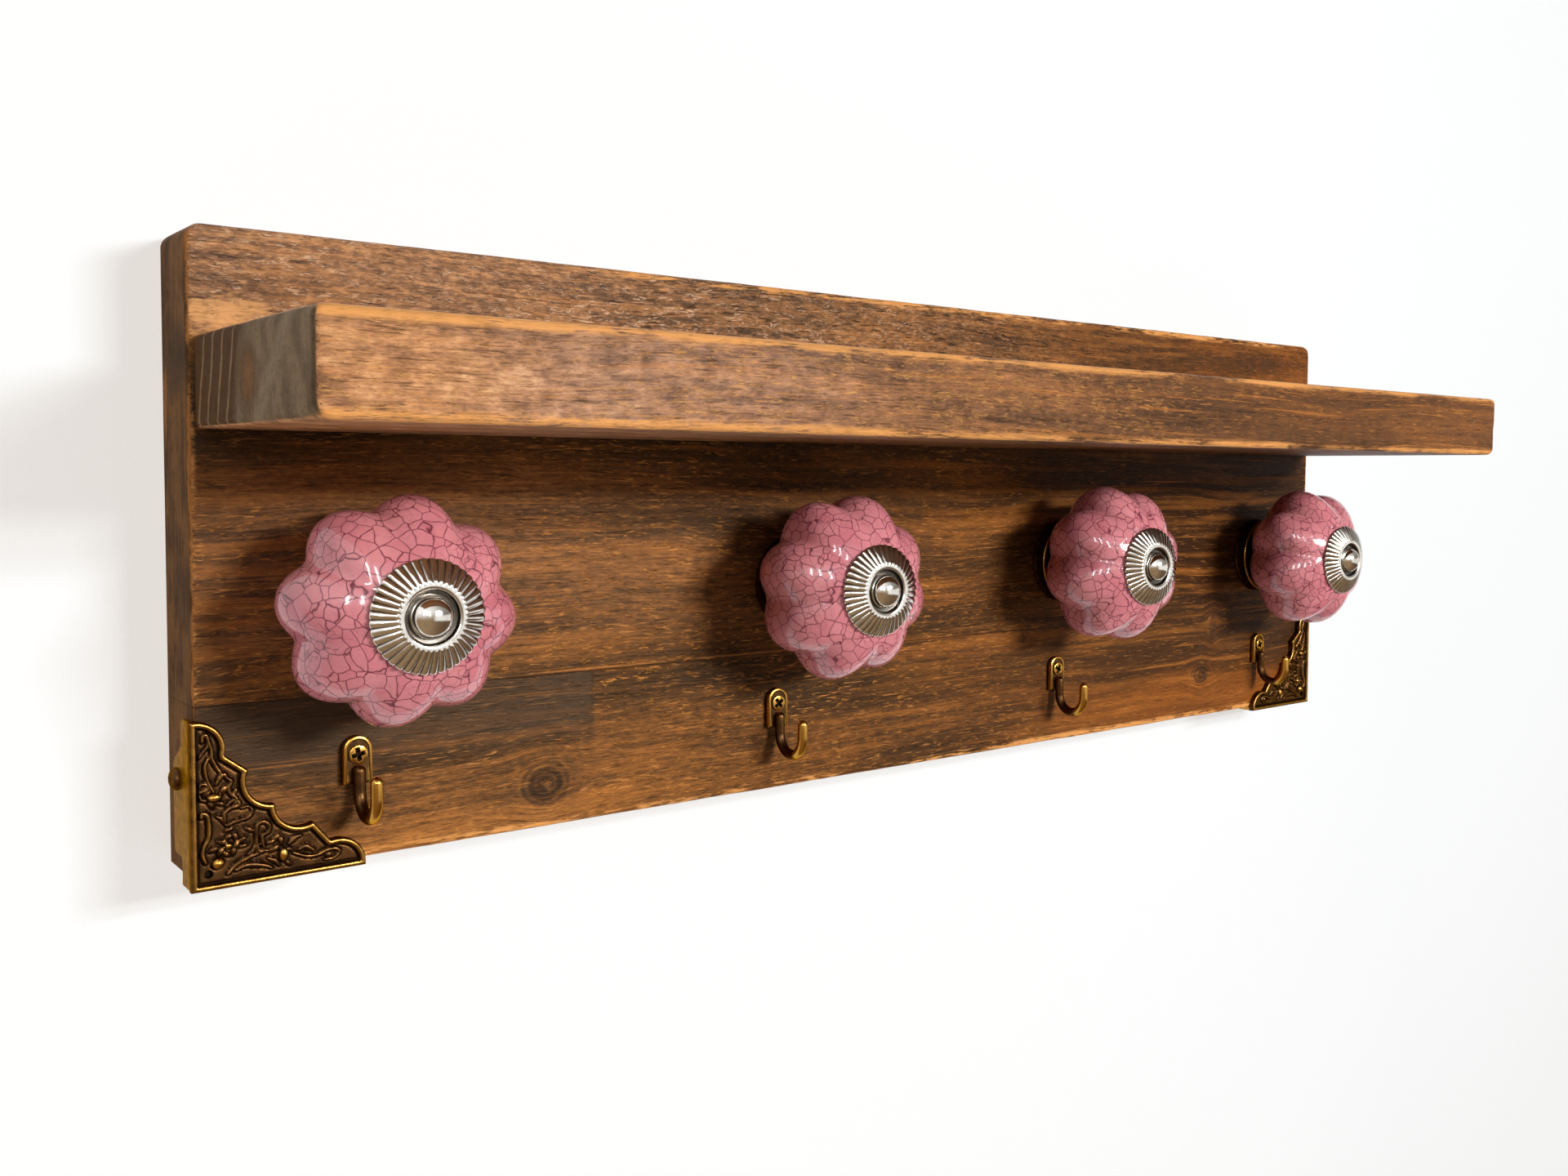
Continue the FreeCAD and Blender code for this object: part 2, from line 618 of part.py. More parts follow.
bracket_screws, bracket_beds = [], []
for side, name in ((LEFT, "left"), (RIGHT, "right")):
    sheet_t = S["bracket_sheet"]
    corner_x = half_length * side
    bottom = -half_height
    face_points, face_sides = scalloped(sheet_t, S["bracket_rim_wide"] * 0)
    field_points, field_sides = scalloped(sheet_t, S["bracket_rim_wide"])
    if side == RIGHT:
        face_points, face_sides = mirrored(face_points, face_sides)
        field_points, field_sides = mirrored(field_points, field_sides)
    face = flat_plate("bracket_face_" + name, face_points, face_sides,
                      sheet_t + S["bracket_rim_high"], corner_x, front, bottom, OUT)
    field = flat_plate("bracket_field_" + name, field_points, field_sides,
                       S["bracket_rim_high"] * 2, corner_x, front - sheet_t, bottom, OUT)
    # the flange on the end of the board: along the leg is up, in from the face is towards the wall
    end_points, end_sides = flange_outline()
    up_in = FreeCAD.Rotation(V(0, 0, 1), V(0, 1, 0), V(-1, 0, 0), "ZXY")
    end_x = corner_x if side == LEFT else corner_x + sheet_t
    end_flange = flat_plate("bracket_end_" + name, end_points, end_sides, sheet_t, end_x, front, bottom, up_in)
    # the flange under the board: along the leg is away from the end
    if side == LEFT:
        under_turn = FreeCAD.Rotation(V(1, 0, 0), V(0, 1, 0), V(0, 0, 1), "ZXY")
        under_z = bottom - sheet_t
    else:
        under_turn = FreeCAD.Rotation(V(-1, 0, 0), V(0, 1, 0), V(0, 0, -1), "ZXY")
        under_z = bottom
    under_flange = flat_plate("bracket_under_" + name, end_points, end_sides, sheet_t, corner_x, front, under_z,
                              under_turn)
    nail_hole = solid("Cylinder", "bracket_nail_hole_" + name, x=corner_x - S["nail_hole_in"] * side,
                      y=front + sheet_t, z=bottom + S["nail_hole_in"], turn=OUT,
                      Radius=S["nail_hole_radius"], Height=sheet_t * 3)
    lengths = [S["bracket_screw_" + key] for key in ("radius", "head", "head_high", "long", "tip")]
    screw_y = front + S["bracket_screw_in"]
    ways = []
    for role, items in (("screw", bracket_screws), ("bed", bracket_beds), ("way", ways)):
        end_screw = round_screw("bracket_end_%s_%s" % (role, name), *lengths)
        place(end_screw, corner_x + sheet_t * side, screw_y, bottom + S["bracket_screw_along"],
              FreeCAD.Rotation(V(0, 1, 0), 90 * side))
        under_screw = round_screw("bracket_under_%s_%s" % (role, name), *lengths)
        place(under_screw, corner_x - S["bracket_screw_along"] * side, screw_y, bottom - sheet_t,
              FreeCAD.Rotation(V(1, 0, 0), 180))
        items.extend([end_screw, under_screw])
    pressed = fuse("bracket_pressed_" + name, [face, end_flange, under_flange])
    sunk = cut("bracket_sunk_" + name, pressed, [field])
    node(cut("corner_bracket_" + name, sunk, [nail_hole] + ways), "corner_bracket_" + name)
node(group("bracket_screws", bracket_screws), "bracket_screws")

# keyhole hangers let into the rear of the board
hanger_screws, hanger_beds, hanger_rooms = [], [], []
for side, name in ((LEFT, "left"), (RIGHT, "right")):
    x = (half_length - S["hanger_end"]) * side
    middle = half_height - S["hanger_top_gap"] - S["hanger_high"] / 2
    entry = middle - S["hanger_entry_drop"]
    thick = S["hanger_thick"]
    corner = S["hanger_wide"] / 2

    def slab(label, y0, deep, grow):
        half = S["hanger_high"] / 2 - corner
        return fuse(label, [
            solid("Box", label + "_box", x=x - corner - grow, y=y0, z=middle - half,
                  Length=(corner + grow) * 2, Width=deep, Height=half * 2),
            solid("Cylinder", label + "_low", x=x, y=y0, z=middle - half, turn=IN, Radius=corner + grow,
                  Height=deep),
            solid("Cylinder", label + "_high", x=x, y=y0, z=middle + half, turn=IN, Radius=corner + grow,
                  Height=deep),
        ])

    def keyhole(label, y0, deep, grow):
        neck = S["hanger_neck_radius"] + grow
        return fuse(label, [
            solid("Cylinder", label + "_entry", x=x, y=y0, z=entry, turn=IN,
                  Radius=S["hanger_entry_radius"] + grow, Height=deep),
            solid("Box", label + "_neck", x=x - neck, y=y0, z=entry, Length=neck * 2, Width=deep,
                  Height=S["hanger_neck_rise"]),
            solid("Cylinder", label + "_top", x=x, y=y0, z=entry + S["hanger_neck_rise"], turn=IN,
                  Radius=neck, Height=deep),
        ])

    none = thick * 0
    plate = slab("hanger_slab_" + name, -thick, thick, none)
    hole = keyhole("hanger_keyhole_" + name, -thick * 2, thick * 3, none)
    ways = []
    for role, items in (("screw", hanger_screws), ("bed", hanger_beds), ("way", ways)):
        for level, mark in ((1, "high"), (-1, "low")):
            screw = wood_screw("hanger_%s_%s_%s" % (role, mark, name), S["hanger_screw_radius"],
                               S["hanger_screw_head"], S["hanger_screw_head_high"], S["hanger_screw_long"],
                               S["hanger_screw_tip"])
            z = middle + (S["hanger_high"] / 2 - S["hanger_screw_end"]) * level
            items.append(place(screw, x, none, z, IN))
    node(cut("hanger_plate_" + name, cut("hanger_holed_" + name, plate, [hole]), ways), "hanger_plate_" + name)
    hanger_rooms.append(slab("hanger_recess_" + name, -thick, thick * 2, none))
    # room for the wall screw's head behind the whole keyhole
    wide = S["hanger_entry_radius"] + S["hanger_room_margin"]
    hanger_rooms.append(fuse("hanger_room_" + name, [
        solid("Box", "hanger_room_box_" + name, x=x - wide, y=-S["hanger_room_deep"], z=entry,
              Length=wide * 2, Width=S["hanger_room_deep"], Height=S["hanger_neck_rise"]),
        solid("Cylinder", "hanger_room_low_" + name, x=x, y=-S["hanger_room_deep"], z=entry, turn=IN,
              Radius=wide, Height=S["hanger_room_deep"]),
        solid("Cylinder", "hanger_room_high_" + name, x=x, y=-S["hanger_room_deep"],
              z=entry + S["hanger_neck_rise"], turn=IN, Radius=wide, Height=S["hanger_room_deep"]),
    ]))
node(group("hanger_screws", hanger_screws), "hanger_screws")

# the back board
board_blank = plank("board_blank", -half_length, half_length, -half_height, half_height, front,
                    S["board_thick"] * 0, [
                        (along_y_at(half_height), S["board_corner_round"]),
                        (on_plane("y", front), S["board_front_round"]),
                        (along_x_on(S["board_thick"] * 0), S["board_rear_round"]),
                    ])
drilled = cut("board_drilled", board_blank, [fuse("board_bores", pockets + bolt_holes)])
screwed = cut("board_screwed", drilled, shelf_screws + hook_forms + bracket_beds)
recessed = cut("board_recessed", screwed, [fuse("board_recesses", hanger_rooms + shelf_sinks)])
node(cut("back_board", recessed, hanger_beds), "back_board")

doc.recompute()
bad = [o.Name for o in doc.Objects if "Invalid" in o.State or "Error" in o.State]
if bad:
    raise RuntimeError("objects that did not compute: %s" % ", ".join(bad))
os.makedirs("parts", exist_ok=True)
for name, item in nodes.items():
    shape = item.Shape
    if shape.isNull() or not shape.isValid() or not shape.Solids:
        raise RuntimeError("bad shape: %s" % name)
    shape.exportStep("parts/%s.step" % name)
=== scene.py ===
"""Key holder shelf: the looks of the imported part, in metres, in the part's own frame.

X runs along the board, Y into the wall, Z up. The rear face of the board is the plane y = 0.
Sizes and places of the object are in millimetres, those of the room, the lamps and the camera in metres.
"""
import math
from types import SimpleNamespace

import bmesh
import bpy
import numpy as np
from mathutils import Matrix, Vector
from mathutils.geometry import delaunay_2d_cdt


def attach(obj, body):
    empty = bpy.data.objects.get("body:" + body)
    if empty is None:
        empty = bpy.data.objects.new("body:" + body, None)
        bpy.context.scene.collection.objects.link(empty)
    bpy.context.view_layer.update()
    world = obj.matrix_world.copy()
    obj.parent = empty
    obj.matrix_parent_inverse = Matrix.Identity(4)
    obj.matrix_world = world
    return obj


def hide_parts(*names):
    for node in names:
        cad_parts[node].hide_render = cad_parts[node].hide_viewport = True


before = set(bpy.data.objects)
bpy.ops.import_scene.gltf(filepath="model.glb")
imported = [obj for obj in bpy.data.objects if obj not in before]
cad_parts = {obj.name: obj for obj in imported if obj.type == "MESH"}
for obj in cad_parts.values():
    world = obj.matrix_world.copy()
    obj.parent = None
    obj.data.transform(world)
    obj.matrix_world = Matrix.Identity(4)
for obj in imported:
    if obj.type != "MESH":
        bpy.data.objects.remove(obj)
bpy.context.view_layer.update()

MM = 0.001
FRONT = -22.0
HALF_LONG, HALF_HIGH = 185.0, 63.7
SHELF_TOP, SHELF_LOW, SHELF_FRONT = 42.5, 24.5, -92.5
SHELF_MID = (SHELF_TOP + SHELF_LOW) / 2
# x and z of the knobs with the turn of their lobes in degrees, and of the hooks
KNOBS = ((-152.5, -10.5, 8.0), (-42.9, -10.9, 15.0), (56.5, -8.8, 30.0), (154.7, -10.2, 29.0))
HOOKS = ((-154.4, -41.6), (-49.0, -41.6), (54.0, -41.6), (155.9, -41.6))


# Helpers for meshes


def new_object(name, verts, faces, smooth_angle=35.0):
    """An object from points in millimetres."""
    mesh = bpy.data.meshes.new(name)
    points = [tuple(float(c) * MM for c in v) for v in verts]
    mesh.from_pydata(points, [], [tuple(int(i) for i in f) for f in faces])
    mesh.update()
    obj = bpy.data.objects.new(name, mesh)
    bpy.context.scene.collection.objects.link(obj)
    shade(obj, smooth_angle)
    return obj


def shade(obj, angle):
    """Faces turned out and smooth, with sharp edges past an angle."""
    bm = bmesh.new()
    bm.from_mesh(obj.data)
    bmesh.ops.recalc_face_normals(bm, faces=bm.faces)
    bm.to_mesh(obj.data)
    bm.free()
    obj.data.polygons.foreach_set("use_smooth", [True] * len(obj.data.polygons))
    obj.data.set_sharp_from_angle(angle=math.radians(angle))
    obj.data.update()


def discard(obj):
    data = obj.data
    bpy.data.objects.remove(obj)
    bpy.data.meshes.remove(data)


def points_mm(obj):
    co = np.zeros(len(obj.data.vertices) * 3)
    obj.data.vertices.foreach_get("co", co)
    return co.reshape(-1, 3) / MM


def out_point(x, z, radius, angle, high):
    """A point about an axis that stands out from the front of the board."""
    return (x + radius * math.sin(angle), FRONT - high, z + radius * math.cos(angle))


def circle(x, z, radius, high, count):
    return [out_point(x, z, radius, 2 * math.pi * j / count, high) for j in range(count)]


def ring_mesh(rows, capped=True):
    """Points and faces of rings of equal length: capped at both ends, or the last joined to the first."""
    n, count = len(rows[0]), len(rows)
    pairs = [(i, (i + 1) % count) for i in range(count - 1 if capped else count)]
    faces = [(a * n + j, a * n + (j + 1) % n, b * n + (j + 1) % n, b * n + j)
             for a, b in pairs for j in range(n)]
    if capped:
        faces += [tuple(reversed(range(n))), tuple(range((count - 1) * n, count * n))]
    return [p for row in rows for p in row], faces


def lathe(profile, segments, place):
    """A form turned about an axis: profile of (radius, height) from pole to pole, where the radius is 0."""
    verts, faces, rings = [], [], []
    for radius, high in profile:
        count = segments if radius > 1e-6 else 1
        rings.append([len(verts) + j % count for j in range(segments)])
        verts.extend(place(radius, 2 * math.pi * j / segments, high) for j in range(count))
    for a, b in zip(rings, rings[1:]):
        for j in range(segments):
            k = (j + 1) % segments
            # a pole counts once among the corners
            faces.append(tuple(dict.fromkeys((a[j], a[k], b[k], b[j]))))
    return verts, faces


def merge(parts):
    verts, faces = [], []
    for v, f in parts:
        base = len(verts)
        verts.extend(v)
        faces.extend(tuple(i + base for i in face) for face in f)
    return verts, faces


def joined(name, objects):
    """One object from several, in the order given."""
    parts = []
    for obj in objects:
        parts.append((points_mm(obj), [tuple(poly.vertices) for poly in obj.data.polygons]))
        discard(obj)
    return new_object(name, *merge(parts), 40.0)


def boolean(obj, tool, operation):
    """The object cut by the tool, joined with it or kept inside it; the tool is used up."""
    mod = obj.modifiers.new("cut", "BOOLEAN")
    mod.operation = operation
    mod.solver = "EXACT"
    mod.object = tool
    bpy.context.view_layer.update()
    mesh = bpy.data.meshes.new_from_object(obj.evaluated_get(bpy.context.evaluated_depsgraph_get()))
    obj.modifiers.clear()
    old = obj.data
    obj.data = mesh
    bpy.data.meshes.remove(old)
    discard(tool)
    return obj


def inward_normals(ring):
    """Unit normals of a ring of points that runs counter-clockwise, pointing in."""
    tangent = np.roll(ring, -1, axis=0) - np.roll(ring, 1, axis=0)
    normal = np.stack([-tangent[:, 1], tangent[:, 0]], axis=1)
    return normal / np.linalg.norm(normal, axis=1)[:, None]


def mark(obj, **fields):
    """Numbers per point of the mesh, read by its material."""
    for name, values in fields.items():
        layer = obj.data.attributes.new(name, "FLOAT", "POINT")
        layer.data.foreach_set("value", np.asarray(values, np.float32))


def paint(obj, look):
    obj.data.materials.clear()
    obj.data.materials.append(look)


def stand(obj, look, body, node):
    """The piece gets its material, rides on its body and takes the place of a CAD node, which is hidden."""
    paint(obj, look)
    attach(obj, body)
    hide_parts(node)


# Helpers for materials

TINT = "MULTIPLY"


def rgb(red, green, blue):
    """A colour given as it looks on screen, 0 to 255."""
    shares = [c / 255.0 for c in (red, green, blue)]
    return (*(c / 12.92 if c <= 0.04045 else ((c + 0.055) / 1.055) ** 2.4 for c in shares), 1.0)


class Value:
    """A node's output that can stand in a sum: each operator makes a math node."""

    def __init__(self, graph, socket):
        self.graph, self.socket = graph, socket

    def __add__(self, other):
        return self.graph.math("ADD", self, other)

    def __sub__(self, other):
        return self.graph.math("SUBTRACT", self, other)

    def __rsub__(self, other):
        return self.graph.math("SUBTRACT", other, self)

    def __mul__(self, other):
        return self.graph.math("MULTIPLY", self, other)

    def __truediv__(self, other):
        return self.graph.math("DIVIDE", self, other)

    def __abs__(self):
        return self.graph.math("ABSOLUTE", self)

    __radd__, __rmul__ = __add__, __mul__

    def step(self, start, end):
        """0 up to start, smoothly to 1 at end; start may be larger than end."""
        return self.graph.node("MapRange", {"Value": self, "From Min": start, "From Max": end},
                               interpolation_type="SMOOTHSTEP")


class Graph:
    """The node tree of a material or of the world, written as sums and calls."""

    def __init__(self, owner, kind="Material"):
        owner.use_nodes = True
        self.owner, self.tree = owner, owner.node_tree
        self.tree.nodes.clear()
        self.output = self.tree.nodes.new("ShaderNodeOutput" + kind).inputs[0]

    def feed(self, socket, value):
        if isinstance(value, Value):
            self.tree.links.new(value.socket, socket)
        else:
            socket.default_value = value

    def node(self, kind, inputs=None, out=0, **props):
        made = self.tree.nodes.new("ShaderNode" + kind)
        for key, value in props.items():
            setattr(made, key, value)
        for key, value in (inputs or {}).items():
            self.feed(made.inputs[key], value)
        return Value(self, made.outputs[out])

    def math(self, operation, a, b=0.0):
        return self.node("Math", {0: a, 1: b}, operation=operation)

    def high(self, a, b):
        return self.math("MAXIMUM", a, b)

    def low(self, a, b):
        return self.math("MINIMUM", a, b)

    def mix(self, share, a, b, blend="MIX"):
        return self.node("Mix", {0: share, 6: a, 7: b}, 2, data_type="RGBA", blend_type=blend,
                         clamp_factor=True)

    def layers(self, colour, rows):
        """A colour with others laid on in turn: rows of a share, a colour, and its blend if not plain."""
        for share, over, *blend in rows:
            colour = self.mix(share, colour, over, *blend)
        return colour

    def ramp(self, value, stops):
        colour = self.node("ValToRGB", {0: value})
        band = colour.socket.node.color_ramp.elements
        while len(band) < len(stops):
            band.new(0.5)
        for element, (at, tone) in zip(band, stops):
            element.position = at
            element.color = tone
        return colour

    def place(self):
        """The object's own coordinates in millimetres."""
        return self.scale(self.node("TexCoord", out="Object"), (1000, 1000, 1000))

    def scale(self, vector, factors):
        return self.node("VectorMath", {0: vector, 1: factors}, operation="MULTIPLY")

    def shift(self, vector, offset):
        return self.node("VectorMath", {0: vector, 1: offset}, operation="ADD")

    def parts(self, vector):
        made = self.node("SeparateXYZ", {0: vector}).socket.node
        return [Value(self, socket) for socket in made.outputs]

    def noise(self, vector, scale, detail=2, rough=0.5, distortion=0.0, out=0):
        """Noise about 0.5; the scale is one number, or one for each axis."""
        if isinstance(scale, tuple):
            vector, scale = self.scale(vector, scale), 1.0
        return self.node("TexNoise", {"Vector": vector, "Scale": scale, "Detail": detail, "Roughness": rough,
                                      "Distortion": distortion}, out)

    def attribute(self, name):
        return self.node("Attribute", out="Fac", attribute_name=name)

    def ray(self, kind):
        """1 where light of that kind looks at the surface."""
        return self.node("LightPath", out="Is %s Ray" % kind)

    def bump(self, height, distance, strength):
        return self.node("Bump", {"Height": height, "Distance": distance, "Strength": strength})

    def finish(self, shader):
        self.feed(self.output, shader)
        return self.owner

    def surface(self, **inputs):
        names = {key.replace("_", " "): value for key, value in inputs.items()}
        return self.finish(self.node("BsdfPrincipled", names))


def material(name):
    """The empty graph of a new material."""
    return Graph(bpy.data.materials.new(name))


# Wood

# knots of the board: x, z, half width and half height
KNOTS = ((-112.1, -53.8, 4.8, 4.2), (125.6, -49.8, 4.4, 3.3), (131.6, -33.6, 2.0, 4.2),
         (40.3, -31.8, 1.8, 1.4))
# the board's glue lines: the level one, and the upright one below it
SEAM_Z, BUTT_X = -29.05, -100.4
# tones of the stain along its ramp
STAIN_STOPS = (0.06, 0.30, 0.52, 0.74, 0.98)


def knot_field(g, x, z):
    """How far each point lies inside the knots, the level of the grain pushed round them, and their rings."""
    inside, level, rings = 0.0, z, 0.0
    for kx, kz, wide, high in KNOTS:
        dx, dz = (x - kx) / wide, (z - kz) / high
        square = dx * dx + dz * dz
        near = g.math("EXPONENT", square * -0.35)
        level = level + (z - kz) * near * -0.75
        reach = g.math("SQRT", square)
        inside = g.high(inside, reach.step(1.15, 0.75))
        rings = rings + reach.step(1.6, 1.1) * g.math("SINE", reach * 15)
    return inside, level, rings


def oval(g, a, b, at_a, at_b, long, high):
    """1 at the middle of an oval, 0 at its edge and below outside."""
    da, db = (a - at_a) / long, (b - at_b) / high
    return 1 - g.math("SQRT", da * da + db * db)


def grain_fields(g, board):
    """The coordinates and the noises that a plank's colour is made of, and the board's knots and staves."""
    w = SimpleNamespace(p=g.place())
    w.x, w.y, w.z = g.parts(w.p)
    facing = g.parts(g.node("TexCoord", out="Normal"))
    w.end = abs(facing[0]).step(0.55, 0.8)
    level = w.z
    if board:
        w.forward = facing[1].step(-0.6, -0.9)
        w.inside, level, w.rings = knot_field(g, w.x, w.z)
        # the plank is glued up from staves: each has its own run of grain and its own tone
        w.low_stave = w.z.step(SEAM_Z + 0.15, SEAM_Z - 0.15)
        w.dark_stave = w.low_stave * w.x.step(BUTT_X + 1.2, BUTT_X - 1.2)
        level = level + w.low_stave * 37
    # the grain wavers slowly along the plank
    waver = (g.noise(w.p, (0.009, 0.02, 0.02)) - 0.5) * 9
    run = g.node("CombineXYZ", {0: w.x, 1: w.y, 2: level + waver})

    def grain(along, across, detail, rough, distortion=0.0):
        return g.noise(run, (along, across, across), detail, rough, distortion)

    # broad soft streaks, long fibres, short scratches, pores, blotches and grit
    w.broad = grain(0.010, 0.085, 3, 0.5)
    w.streak = grain(0.018, 0.42, 3, 0.55)
    w.fibre = grain(0.045, 1.9, 4, 0.6)
    w.scratch = grain(0.26, 1.7, 3, 0.6, 0.3)
    w.pore = g.noise(w.p, (0.8, 4.2, 4.2))
    w.mottle = g.noise(w.p, (0.19, 0.30, 0.30), 3, 0.6)
    w.grit = grain(0.42, 0.95, 3, 0.6, 0.8).step(0.38, 0.62) - 0.5
    # squiggles and strokes where raised grain was rubbed through, the gaps in them, flecks, lines and checks
    w.scrawl = grain(0.29, 1.45, 2, 0.55, 0.6)
    w.squiggle = abs(w.scrawl - 0.5).step(0.060, 0.018)
    w.stroke = abs(grain(0.16, 1.75, 2, 0.55, 0.35) - 0.5).step(0.052, 0.014)
    w.broken = g.noise(w.p, (0.24, 0.55, 0.55), 2, 0.6)
    w.fleck = grain(0.22, 2.1, 1, 0.5, 0.2).step(0.63, 0.71)
    w.long_line = grain(0.022, 1.5, 1, 0.5, 0.1).step(0.64, 0.73)
    w.check = g.noise(g.shift(g.scale(run, (0.16, 2.2, 2.2)), (0, 0, 40)), 1.0, 1).step(0.36, 0.28)
    # rubbing along the edges, and the soak of the end grain
    w.rub = g.noise(w.p, (0.035, 0.09, 0.09), 4, 0.7)
    w.haze = g.noise(w.p, (0.3, 0.16, 0.10), 3, 0.55)
    return w


def board_plan(g, w):
    """The back board's tones, tints, worn places and end grain; some tints are painted shade and painted
    sheen.
    """
    x, y, z = w.x, w.y, w.z
    stain = rgb(40, 23, 9), rgb(84, 52, 24), rgb(138, 85, 37), rgb(188, 120, 52), rgb(226, 162, 94)
    above = z.step(40, 45)
    below = 1 - above
    open_left = x.step(40, -40) * z.step(-28, -14) * z.step(22, 14)
    bottom_mid = z.step(-42, -50) * x.step(-40, 5) * x.step(62, 35)
    # the strip above the shelf is paler, most at its left, and the board darker towards the right: partly the
    # stain, partly a painted fall of light and sheen towards the left
    tone = 0.27 + above * (0.12 + 0.10 * x.step(-60, -185))
    tone += w.grit * (0.08 * above + x.step(100, -40) * (0.08 + 0.05 * above))
    tone += 0.13 * z.step(-36, -52) - 0.10 * x.step(20, 190) + 0.20 * x.step(40, 120) * z.step(-44, -58)
    # paler between the left knobs, deeper along the bottom at the middle, worn at the top right
    tone += 0.13 * open_left - 0.10 * bottom_mid + 0.16 * above * x.step(150, 182)
    tone += above * (0.06 * x.step(-140, -115) * x.step(-60, -85) - 0.05 * x.step(60, 85) * x.step(130, 105))
    tone += 0.03 * x.step(-60, -80) * z.step(-42, -50) + 0.30 * above * (w.mottle - 0.5)
    tone += 0.11 * w.rings - 0.20 * w.inside - 0.27 * w.dark_stave * z.step(-47, -39)
    tints = (
        # darker and redder towards the right, paler and greyer at the left: partly the stain, partly a
        # painted fall of light and sheen towards the left
        (x.step(-140, 150), (0.78, 0.62, 0.38, 1), TINT),
        (x.step(-20, -150), (1.12, 1.18, 1.42, 1), TINT),
        # painted shade: darker between the right knobs, where their shadows fall, and in the left corner
        # under the shelf, with a little pooled stain there
        (below * x.step(20, 110) * z.step(-38, -4), (0.66, 0.56, 0.46, 1), TINT),
        (below * x.step(-110, -150) * z.step(12, 21), (0.60, 0.66, 0.78, 1), TINT),
        # greyer between the left knobs and along the bottom at the middle
        (open_left, (1.0, 1.08, 1.50, 1), TINT),
        (bottom_mid, (1.0, 1.05, 1.30, 1), TINT),
    )
    stain_and_sheen = (
        # the dark stave took the stain evenly
        (0.72 * w.dark_stave * z.step(-46, -39), g.mix(w.fibre, rgb(50, 37, 26), rgb(94, 71, 55))),
        # painted sheen: the strip above the shelf is paler and pinker at its left
        (above * x.step(150, -20), (1.10, 1.38, 2.70, 1), TINT),
    )
    line = (w.squiggle * above + w.stroke * below) * (w.broken + 0.05 * above).step(0.52, 0.62)
    # most of the dark checks lie in the middle of the strip above the shelf
    dash = above * x.step(-130, -60) * x.step(130, 40)

    edge = g.low(g.low(HALF_HIGH - z, z + HALF_HIGH), HALF_LONG + 0.9 - abs(x))
    patch = oval(g, x, z, -179, 46.5, 12, 6.5) + (w.mottle - 0.5) * 2.2 + (w.scrawl - 0.5) * 1.4
    seam = abs(z - SEAM_Z).step(0.24, 0.05)
    butt = z.step(-43, -38) * w.low_stave * abs(x - BUTT_X).step(0.22, 0.05)
    glint = abs(z - (SEAM_Z + 0.55)).step(0.35, 0.05) * w.rub.step(0.46, 0.58)
    core = w.inside * g.noise(w.p, (0.5, 0.5, 0.9)).step(0.30, 0.6)
    marks = (
        # rubbed bare beside the shelf's left end, the glue lines with a glint over them, the knots' hearts
        (0.75 * patch.step(0.1, 0.9) * w.forward, rgb(232, 170, 108)),
        (0.35 * g.high(seam, 0.4 * butt), stain[0]),
        (0.5 * glint, rgb(206, 130, 64)),
        (0.55 * core, rgb(58, 32, 18)),
    )

    stripe = g.noise(w.p, (0.4, 0.55, 0.045), 4, 0.6)
    haze = w.haze - 0.5
    soft = g.mix(w.haze.step(0.34, 0.66), rgb(70, 45, 23), rgb(116, 79, 45))
    end_grain = g.layers(soft, (
        (0.55 * stripe.step(0.50, 0.68), rgb(134, 92, 54)),
        # a dark pool at the front, a glow at the rear, brown at the bottom, and the rubbed front line
        (0.6 * (oval(g, y, z, FRONT + 9, 38, 14, 9) + haze * 1.6).step(0.1, 0.6), rgb(48, 36, 26)),
        (0.7 * (oval(g, y, z, -4, 30, 3.5, 11) + (stripe - 0.5) * 2.4).step(0.2, 0.9), rgb(176, 116, 64)),
        (0.5 * (z + haze * 60).step(-30, -62), rgb(108, 68, 38)),
        (0.7 * (y - FRONT - (w.rub - 0.5) * 4).step(1.1, 0.4), rgb(188, 122, 66)),
    ))
    return SimpleNamespace(
        stain=stain, shares=(0.78, 0.36, 0.46, 0.44, 0.22), tone=tone, tints=tints, stain_and_sheen=stain_and_sheen,
        orange=0.36, line=line * (1 - 0.55 * w.dark_stave), lively=0.80 - 0.08 * above,
        bare=g.mix(above, rgb(224, 150, 74), rgb(236, 174, 104)), check=w.check * (0.55 + 0.45 * dash),
        marks=marks, end_grain=end_grain,
        arris=abs(edge) + abs(g.low(y - FRONT, y * -1)), reach=(2.1, 0.8), cover=0.49,
        # the top arris is still stained at its left
        rubbed=1 - x.step(-85, -110) * z.step(40, 55))


